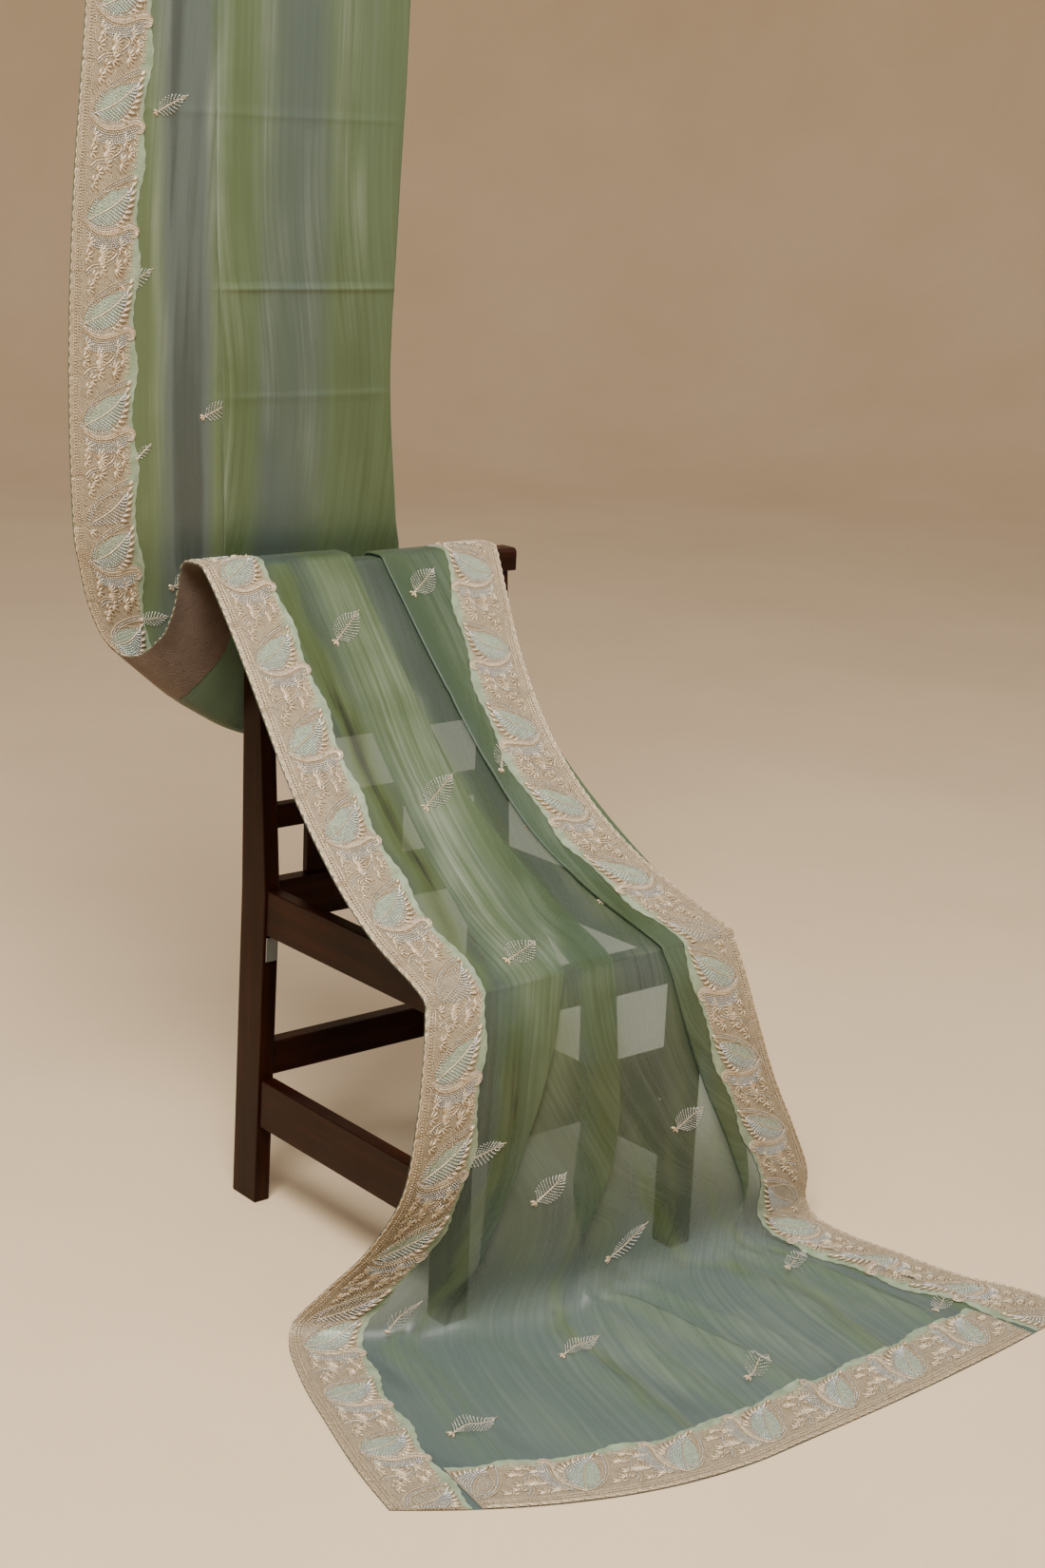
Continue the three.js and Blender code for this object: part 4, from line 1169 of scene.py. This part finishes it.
# One repeat of the border, in millimetres: s along the edge, w in from it.
LEAF_BASE, LEAF_TIP, LEAF_HALF, LEAF_BOW = (0, 19), (40, 80), 21, 5
SCROLL = [(2, 17), (-8, 26), (-14, 40), (-13, 56), (-8, 70), (-6, 82), (-11, 90), (-18, 88), (-19, 81)]
SWEEP = [(10, 17), (26, 24), (40, 38), (50, 54), (56, 68), (60, 80)]
VINE = [(-62, 20), (-54, 30), (-52, 44), (-46, 56), (-38, 62), (-34, 56)]
LEAF_POINTS, SCROLL_POINTS, SWEEP_POINTS, VINE_POINTS = 14, 44, 30, 26
PETAL_SWELL = np.array([0.35, 0.9, 1.0, 0.8, 0.3])
TAPERED_END = 0.4

# Sprays of petals: centre, how many petals and their length.
SPRAYS = [
    ((-43, 38), 9, 14), ((-57, 60), 7, 11), ((-31, 64), 6, 9), ((-27, 22), 6, 10), ((-44, 20), 5, 9),
    ((-45, 72), 6, 8), ((-60, 40), 5, 9), ((44, 24), 5, 9), ((56, 30), 5, 9),
]


def leaf_place(t, across):
    """A place on the border's leaf: t from its base to its tip, across from -1 to 1."""
    base, tip = np.array(LEAF_BASE, float), np.array(LEAF_TIP, float)
    axis = tip - base
    side = np.array((-axis[1], axis[0])) / np.hypot(*axis)
    half = LEAF_HALF * np.sin(np.pi * np.clip(t, 0, 1) ** 0.8) ** 0.8
    bow = LEAF_BOW * np.sin(np.pi * t)
    return base + np.multiply.outer(t, axis) + np.multiply.outer(across * half + bow, side)


def scaled(points, cell):
    """Millimetres within a repeat as metres along the border."""
    points = np.asarray(points, float) * MM
    return points[..., 0] + cell, points[..., 1]


class Cell:
    """One repeat of the border; what falls outside the border's length is left out."""

    def __init__(self, mapping, cell, s_from, s_to, base):
        self.mapping, self.cell, self.s_from, self.s_to, self.base = mapping, cell, s_from, s_to, base

    def kept(self, points):
        s, w = scaled(points, self.cell)
        inside = (s > self.s_from) & (s < self.s_to)
        return s[inside], w[inside]

    def cord(self, stitches, points, radius, lift=0.0):
        s, w = self.kept(points)
        if len(s) > 2:
            taper = np.ones(len(s))
            taper[[0, -1]] = TAPERED_END
            add_cord(stitches, self.mapping, s, w, radius * MM * taper, self.base + lift * MM)

    def petal(self, stitches, start, turn, length, radius, lift=0.3):
        """An oblong stitch that swells in its middle; turn goes from straight in to along the edge."""
        direction = np.array((math.sin(turn), math.cos(turn)))
        run = np.linspace(0, length, len(PETAL_SWELL))
        s, w = self.kept(np.array(start) + np.outer(run, direction))
        if len(s) == len(run):
            add_cord(stitches, self.mapping, s, w, PETAL_SWELL * radius * MM, self.base + lift * MM)

    def beads(self, stitches, points, radius, lift=0.0):
        add_beads(stitches, self.mapping, *self.kept(points), radius * MM, self.base + lift * MM)

    def patch(self, stitches, points, lift):
        s, w = scaled(points, self.cell)
        if s.min() > self.s_from and s.max() < self.s_to:
            add_patch(stitches, self.mapping, s, w, self.base + lift * MM)


HALF_REPEAT = REPEAT / MM / 2
SCALLOP_POINTS, LINE_POINTS = 51, 21


def straight(s, w):
    """A line along the border at one distance in from its edge."""
    return np.stack([s, np.full(len(s), w)], -1)


def sew_edge(cell, gold):
    """Scallops, two rows of beads and the cords between them."""
    along = np.linspace(-HALF_REPEAT, HALF_REPEAT, SCALLOP_POINTS)
    bump_out = np.abs(np.sin(np.pi * along * MM / SCALLOP))
    for inset, depth, radius in ((3.2, 2.0, 1.1), (5.2, 1.2, 0.6)):
        cell.cord(gold, np.stack([along, inset - depth * bump_out], -1), radius)
    for w in (6.6, 11.2, 15.4):
        cell.cord(gold, straight(np.linspace(-HALF_REPEAT, HALF_REPEAT, LINE_POINTS), w), radius=0.5)
    for w, radius, pitch in ((8.9, 1.55, 3.8), (13.3, 1.2, 3.2)):
        cell.beads(gold, straight(np.arange(-HALF_REPEAT, HALF_REPEAT, pitch), w), radius)


def sew_leaf(cell, gold, silver, mint):
    """A mint leaf with a gold rib, beaded veins and edges, and petals round its tip."""
    t = np.linspace(0.02, 0.98, LEAF_POINTS)
    face = [leaf_place(t, np.full(LEAF_POINTS, across)) for across in np.linspace(-1, 1, 7)]
    cell.patch(mint, np.stack(face, 1), lift=0.2)
    rib = leaf_place(np.linspace(0, 1, LEAF_POINTS), np.zeros(LEAF_POINTS))
    cell.cord(gold, rib, radius=0.95, lift=0.5)
    # Side, its edging, how far out each vein's beads lie, how far apart the veins are, bead radius.
    halves = (
        (1, silver, np.arange(0.14, 0.95, 0.135), 0.055, 1.25),
        (-1, gold, np.arange(0.2, 0.9, 0.2), 0.08, 1.0),
    )
    for side, edging, reaches, pitch, radius in halves:
        for root in np.arange(0.06, 0.95, pitch):
            cell.beads(silver, leaf_place(root + 0.12 * reaches, side * reaches), radius, lift=0.3)
        edge = leaf_place(np.linspace(0.02, 0.97, 26), np.full(26, float(side)))
        cell.beads(edging, spaced(edge, pitch=3.0), radius=1.15, lift=0.3)
    first_root = 0.42
    for root in np.linspace(first_root, 1.0, 8):
        start = leaf_place(np.array([root]), np.array([0.96]))[0]
        cell.petal(gold, start, turn=-0.5 + 2.4 * (root - first_root), length=11.5, radius=2.5, lift=0.5)
    cell.petal(gold, (48, 82), turn=0.9, length=9, radius=3.0, lift=0.4)


def sew_scroll(cell, gold, silver):
    """A raised gold scroll with cords along its sides and rows of beads beside it."""
    scroll = smooth_line(SCROLL, SCROLL_POINTS)
    run = np.linspace(0, 1, SCROLL_POINTS)
    half = 0.8 + 3.0 * np.sin(np.pi * np.clip(run * 1.02, 0, 1)) ** 0.7
    sides = shifted(scroll, 1.0) - scroll
    body = np.stack([scroll + sides * (half * a)[:, None] for a in (-0.8, -0.4, 0, 0.4, 0.8)], 1)
    cell.patch(gold, body, lift=0.5)
    for side in (-1, 1):
        cell.cord(gold, (scroll + sides * (half * side)[:, None])[::2], radius=0.75, lift=0.6)
    centre_row = scroll + sides * (half * -0.3)[:, None]
    outer_row = scroll + sides * (half + 2.4)[:, None]
    cell.beads(silver, spaced(centre_row, pitch=3.0), radius=1.0, lift=0.9)
    cell.beads(gold, spaced(outer_row, pitch=3.2), radius=1.25, lift=0.2)
    for n, distance in enumerate((2.8, 5.5, 8.2, 10.9, 13.6)):
        under = scroll + sides * (half + 2.2 + distance)[:, None]
        cell.beads(silver, spaced(under[5 + n : 34 - 2 * n], pitch=2.9), radius=1.2, lift=0.2)


def sew_filler(cell, gold, silver):
    """Sweeping rows of beads, a vine, sprays of petals and a row of small rings."""
    sweep = smooth_line(SWEEP, SWEEP_POINTS)
    for distance, stitches, radius in ((3.4, gold, 1.25), (6.4, silver, 1.15), (9.4, gold, 1.25)):
        cell.beads(stitches, spaced(shifted(sweep, distance), pitch=3.2), radius, lift=0.2)
    vine = smooth_line(VINE, VINE_POINTS)
    cell.cord(gold, vine, radius=1.1, lift=0.2)
    cell.beads(silver, spaced(shifted(vine, 3.4), pitch=3.0), radius=1.1, lift=0.2)
    cell.beads(gold, spaced(shifted(vine, -3.6), pitch=3.2), radius=1.2, lift=0.2)
    for centre, count, length in SPRAYS:
        for n in range(count):
            turn = -1.3 + 2.6 * n / (count - 1)
            start = np.array(centre) + 2.0 * np.array((math.sin(turn), math.cos(turn)))
            cell.petal(gold, start, turn, length + 2 * (n % 2), radius=1.7)
    ring_turn = np.linspace(0, 2 * np.pi, 7)
    circle = np.stack([np.cos(ring_turn), np.sin(ring_turn)], -1)
    for n in range(6):
        cell.cord(gold, np.array((-26 - 6.6 * n, 83.0)) + 2.4 * circle, radius=0.85, lift=0.2)


def sew_border(name, mapping, s_from, s_to):
    """The embroidery of one length of the border, as one piece for each kind of stitch."""
    gold, silver, mint = Stitches(), Stitches(), Stitches()
    for n in range(int((s_to - s_from) / REPEAT) + 2):
        cell = Cell(mapping, s_from + n * REPEAT, s_from, s_to, STRIP_TOP)
        sew_edge(cell, gold)
        sew_leaf(cell, gold, silver, mint)
        sew_scroll(cell, gold, silver)
        sew_filler(cell, gold, silver)
    return [
        gold.piece(f"gold_{name}", GOLD, "border"),
        silver.piece(f"silver_{name}", SILVER, "border"),
        mint.piece(f"leaves_{name}", MINT, "border"),
    ]


for side, mapping in (("left", left_edge), ("right", right_edge)):
    for (stretch_name, _, _), (first, last) in zip(STRETCHES, ring_spans):
        s_from, s_to = mapping.s[first], mapping.s[last]
        border_pieces[stretch_name] += sew_border(f"{side}_{stretch_name}", mapping, s_from, s_to)
border_pieces["floor_spread"] += sew_border("end", free_end, END_FROM + END_MARGIN, END_TO - END_MARGIN)


class SheetMap:
    """Places anywhere on the saree: s metres from its free end, w metres from its left edge."""

    def at(self, s, w, height=0.0):
        s, w = np.asarray(s, float), np.asarray(w, float)
        rows, columns = np.arange(len(along_length)), np.arange(grid.shape[1])
        k = np.clip(np.interp(s, along_length, rows), 0, len(rows) - LAST_SHARE)
        points, outs = np.empty((*s.shape, 3)), np.empty((*s.shape, 3))
        for index in np.ndindex(s.shape):
            row = int(k[index])
            share = k[index] - row
            lengths = across_length[row] * (1 - share) + across_length[row + 1] * share
            j = min(np.interp(w[index], lengths, columns), len(columns) - LAST_SHARE)
            column = int(j)
            across = j - column
            for values, result in ((grid, points), (normals, outs)):
                near = values[row, column] * (1 - across) + values[row, column + 1] * across
                far = values[row + 1, column] * (1 - across) + values[row + 1, column + 1] * across
                result[index] = near * (1 - share) + far * share
        outs = unit(outs)
        return points + outs * height, outs


# Leaf sprigs on the field: millimetres from the left edge and from the free end, the degrees by
# which each leans from straight across towards the rod, and its length.
SPRIGS = [
    (167, 177, 25, 70), (366, 317, 18, 66), (561, 150, 23, 66), (901, 133, 24, 60), (774, 329, 30, 64),
    (132, 426, 62, 46), (452, 455, 32, 60), (296, 572, 27, 64), (682, 609, 18, 64), (112, 659, 6, 58),
    (179, 897, 17, 62), (367, 1040, 30, 56), (705, 965, 30, 56), (213, 1149, 33, 70), (914, 1193, 66, 54),
    (662, 1096, 30, 52), (175, 1403, 38, 66), (643, 1344, 30, 52), (884, 1462, 33, 62), (425, 1500, 30, 56),
    (300, 1690, 30, 56), (580, 1770, 30, 56), (830, 1700, 30, 56), (450, 1900, 30, 56), (720, 1930, 30, 56),
    (106, 1984, 13, 46), (167, 2047, 28, 60), (106, 2222, 40, 26), (216, 2271, 22, 46), (94, 2438, 28, 46),
    (129, 2649, 27, 46), (215, 2830, 28, 46), (110, 3010, 28, 46),
]

# A sprig's half width, petals and the lean of its veins are shares of its length; how far apart
# its veins and, where it is widest, its beads are, and all radii, are in millimetres.
SPRIG_HALF, PETAL_LENGTH, PETAL_START = 0.25, 0.13, 0.46
VEIN_LEAN, VEIN_PITCH, VEIN_BEADS = 0.16, 5.0, 2.25
SPRIG_BEAD, SPRIG_PETAL = 1.2, 1.9
SPRIG_LIFT = 0.0001
SPRIG_RIB = np.linspace(1.2, 0.7, 12)
SPRIG_SWELL = np.array([0.4, 1.0, 1.15, 1.0, 0.35])


def sew_sprigs():
    """Each sprig is a pointed leaf in rows of silver beads, with a gold rib and three gold petals."""
    gold, silver = Stitches(), Stitches()
    cloth_map = SheetMap()
    lift = CLOTH_THICKNESS / 2 + SPRIG_LIFT
    for across, along, lean, length in SPRIGS:
        angle = math.radians(lean)
        axis = np.array((math.sin(angle), math.cos(angle)))
        side = np.array((axis[1], -axis[0]))
        centre = np.array((along, across), float)

        def place(t, out):
            t, out = np.atleast_1d(t), np.atleast_1d(out)
            half = SPRIG_HALF * length * np.sin(np.pi * np.clip(t, 0.02, 1) ** 0.86) ** 0.85
            spot = centre + np.multiply.outer((t - 0.5) * length, axis) + np.multiply.outer(out * half, side)
            return spot[:, 0] * MM, spot[:, 1] * MM

        for edge in (-1, 1):
            for root in np.arange(0.05, 0.88, VEIN_PITCH / length):
                reach = np.arange(0.16, 1.05, VEIN_BEADS / (SPRIG_HALF * length))
                vein = place(root + VEIN_LEAN * reach, edge * reach)
                add_beads(silver, cloth_map, *vein, SPRIG_BEAD * MM, lift)
        rib = place(np.linspace(0.02, 1.08, len(SPRIG_RIB)), np.zeros(len(SPRIG_RIB)))
        add_cord(gold, cloth_map, *rib, SPRIG_RIB * MM, lift)
        for turn in (-0.75, 0.0, 0.75):
            run = np.linspace(0, PETAL_LENGTH, len(SPRIG_SWELL)) * length
            direction = -axis * math.cos(turn) + side * math.sin(turn)
            spots = (centre - axis * length * PETAL_START + np.outer(run, direction)) * MM
            swell = SPRIG_SWELL * SPRIG_PETAL * MM
            add_cord(gold, cloth_map, spots[:, 0], spots[:, 1], swell, lift)
    return [gold.piece("sprig_gold", GOLD, "border"), silver.piece("sprig_silver", SPRIG_BEADS, "border")]


border_pieces["chair_drape"] += sew_sprigs()


# Chair, rod and plates.


def grain_of(low, high):
    """The axis of a piece's length, along which its grain runs."""
    size = high - low
    return max(range(3), key=lambda axis: size[axis])


WELD = 1e-5
FLAT_ANGLE, SHARP_ANGLE = math.radians(1), math.radians(25)


def eased_copy(node_name, material, ease, segments=2):
    """A copy of a solid with its sharp edges eased, in its place."""
    mesh = frame["nodes"][node_name].data.copy()
    mesh.name = f"eased_{node_name}"
    mesh.materials.clear()
    mesh.materials.append(material)
    shape = bmesh.new()
    shape.from_mesh(mesh)
    bmesh.ops.remove_doubles(shape, verts=shape.verts, dist=WELD)
    bmesh.ops.dissolve_limit(shape, angle_limit=FLAT_ANGLE, verts=shape.verts, edges=shape.edges)
    sharp = [edge for edge in shape.edges if edge.calc_face_angle(0) > SHARP_ANGLE]
    bmesh.ops.bevel(shape, geom=sharp, offset=ease, segments=segments, profile=0.6, affect="EDGES")
    shape.to_mesh(mesh)
    shape.free()
    mesh.shade_smooth()
    piece = add_object(f"eased_{node_name}", mesh)
    weighted = piece.modifiers.new("face_normals", "WEIGHTED_NORMAL")
    weighted.keep_sharp = False
    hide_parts(node_name)
    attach(piece, "root")
    return piece


WOOD_EASE, PLATE_EASE = 0.0018, 0.0004
for entry in frame["record"]["subparts"]:
    if entry["material_slot"] == "wood":
        low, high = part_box(entry["node"])
        wood = eased_copy(entry["node"], WOODS[grain_of(low, high)], WOOD_EASE)
    elif entry["material_slot"] == "steel":
        plate = eased_copy(entry["node"], STEEL, PLATE_EASE, 1)


# The folded length on the rod.

# Metres, but for the gap to the rod, which is in millimetres like the rod's own sizes.
REST_LAYERS = 4
REST_COLUMNS, REST_RISE, REST_ROUND = 30, 24, 14
REST_OFF_ROD, REST_INSIDE, REST_SIDE_INSIDE = 0.9, 0.0012, 0.001
REST_COVER = 0.75
FRONT_END, BACK_END, UNEVEN = 0.002, 0.004, 0.006
SWAY, SWAY_REACH, INNER_SWAY = 0.0006, 0.2, 0.4


def rest_line(radius, centre_z, front_end, back_end):
    """(y, z) of one layer: up the front, half round the rod and down the back."""
    rise = np.linspace(0, 1, REST_RISE)
    bend = np.linspace(0, math.pi, REST_ROUND)[:-1]
    front = [(-radius, front_end + (centre_z - front_end) * t) for t in rise[:-1]]
    over = [(-radius * math.cos(a), centre_z + radius * math.sin(a)) for a in bend]
    back = [(radius, centre_z + (back_end - centre_z) * t) for t in rise]
    return np.array(front + over + back)


def make_folded_rest():
    """Four nested layers of cloth over the rod, with uneven ends."""
    low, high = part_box("folded_rest")
    centre_y = ORIGIN.y + ROD_Y * MM
    centre_z = ORIGIN.z + ROD_Z * MM
    inner = (ROD_RADIUS + REST_OFF_ROD) * MM
    pitch = ((high.y - low.y) / 2 - inner - REST_INSIDE) / (REST_LAYERS - 1)
    x = np.linspace(low.x + REST_SIDE_INSIDE, high.x - REST_SIDE_INSIDE, REST_COLUMNS)
    for layer in range(REST_LAYERS):
        front_end = low.z + FRONT_END + UNEVEN * ((layer * 3) % REST_LAYERS)
        back_end = low.z + BACK_END + UNEVEN * ((layer * 3 + 1) % REST_LAYERS)
        line = rest_line(inner + pitch * layer, centre_z, front_end, back_end)
        points = np.empty((len(line), len(x), 3))
        sway = SWAY * np.sin(x[None, :] * 46 + layer * 1.7 + line[:, 1, None] * 9)
        hang = np.clip((centre_z - line[:, 1]) / SWAY_REACH, 0, 1)[:, None]
        points[..., 0] = x[None, :]
        points[..., 1] = centre_y + line[:, 0, None] + sway * hang * (1 if layer else INNER_SWAY)
        points[..., 2] = line[:, 1, None]
        uv = np.stack([
            np.broadcast_to(x[None, :] - low.x, points.shape[:2]),
            np.broadcast_to(running_length(points, 0)[:, 0][:, None], points.shape[:2]),
        ], -1)
        out = surface_normals(points)
        piece = make_shell(f"rest_layer_{layer + 1}", points, out, uv, CLOTH_THICKNESS, ORGANZA)
        # The rest layers take the same painted sheen stripes as the hanging length.
        tone_and_painted_light = np.interp((points[..., 0] - ORIGIN.x) / MM, *zip(*HUNG_SHEEN_STRIPES))
        set_point_values(piece, "tone_and_painted_light", np.concatenate([tone_and_painted_light, tone_and_painted_light]))
        set_point_values(piece, "cover", np.repeat([REST_COVER, 0.0], tone_and_painted_light.size))
        set_point_values(piece, "shine", np.zeros(2 * tone_and_painted_light.size))
        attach(piece, "root")
    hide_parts("folded_rest")


make_folded_rest()


# Floor and light.

STAGE_FLAT, STAGE_CURVE, STAGE_WALL = 7.5, 3.0, 6.0
STAGE_SIDES, STAGE_BEND = 64, 13
ROOM_COLOUR, ROOM_STRENGTH = (1.0, 0.985, 0.96, 1), 0.52
LIGHT_COLOUR = (1.0, 0.98, 0.95)


def make_stage():
    """A round studio floor that curves up into a wall all round."""
    bend = [
        (STAGE_FLAT + STAGE_CURVE * math.sin(a), STAGE_CURVE * (1 - math.cos(a)))
        for a in np.linspace(0, math.pi / 2, STAGE_BEND)
    ]
    profile = [(2.5, 0.0), (5.0, 0.0), *bend, (STAGE_FLAT + STAGE_CURVE, STAGE_WALL)]
    verts = []
    for radius, z in profile:
        for n in range(STAGE_SIDES):
            turn = 2 * math.pi * n / STAGE_SIDES
            verts.append((radius * math.cos(turn), radius * math.sin(turn), z))
    faces = [tuple(range(STAGE_SIDES))]
    for k in range(len(profile) - 1):
        for n in range(STAGE_SIDES):
            a, b = k * STAGE_SIDES + n, k * STAGE_SIDES + (n + 1) % STAGE_SIDES
            faces.append((a, a + STAGE_SIDES, b + STAGE_SIDES, b))
    ground = link_mesh("floor", verts, faces, floor_material())
    world = bpy.data.worlds.new("soft_room")
    world.use_nodes = True
    background = world.node_tree.nodes["Background"]
    background.inputs["Color"].default_value = ROOM_COLOUR
    background.inputs["Strength"].default_value = ROOM_STRENGTH
    bpy.context.scene.world = world


def add_light(name, at, aim, size, energy):
    """A square light that points at a place."""
    data = bpy.data.lights.new(name, "AREA")
    data.shape = "RECTANGLE"
    data.size, data.size_y = size, size
    data.energy = energy
    data.color = LIGHT_COLOUR
    light = add_object(name, data)
    light.location = at
    light.rotation_mode = "QUATERNION"
    light.rotation_quaternion = (Vector(aim) - Vector(at)).to_track_quat("-Z", "Y")


make_stage()
add_light("window", at=(-1.9, -1.7, 4.2), aim=(0, 0, 0.5), size=2.0, energy=440)
add_light("fill", at=(2.8, -2.6, 2.2), aim=(0, 0, 0.8), size=2.6, energy=35)
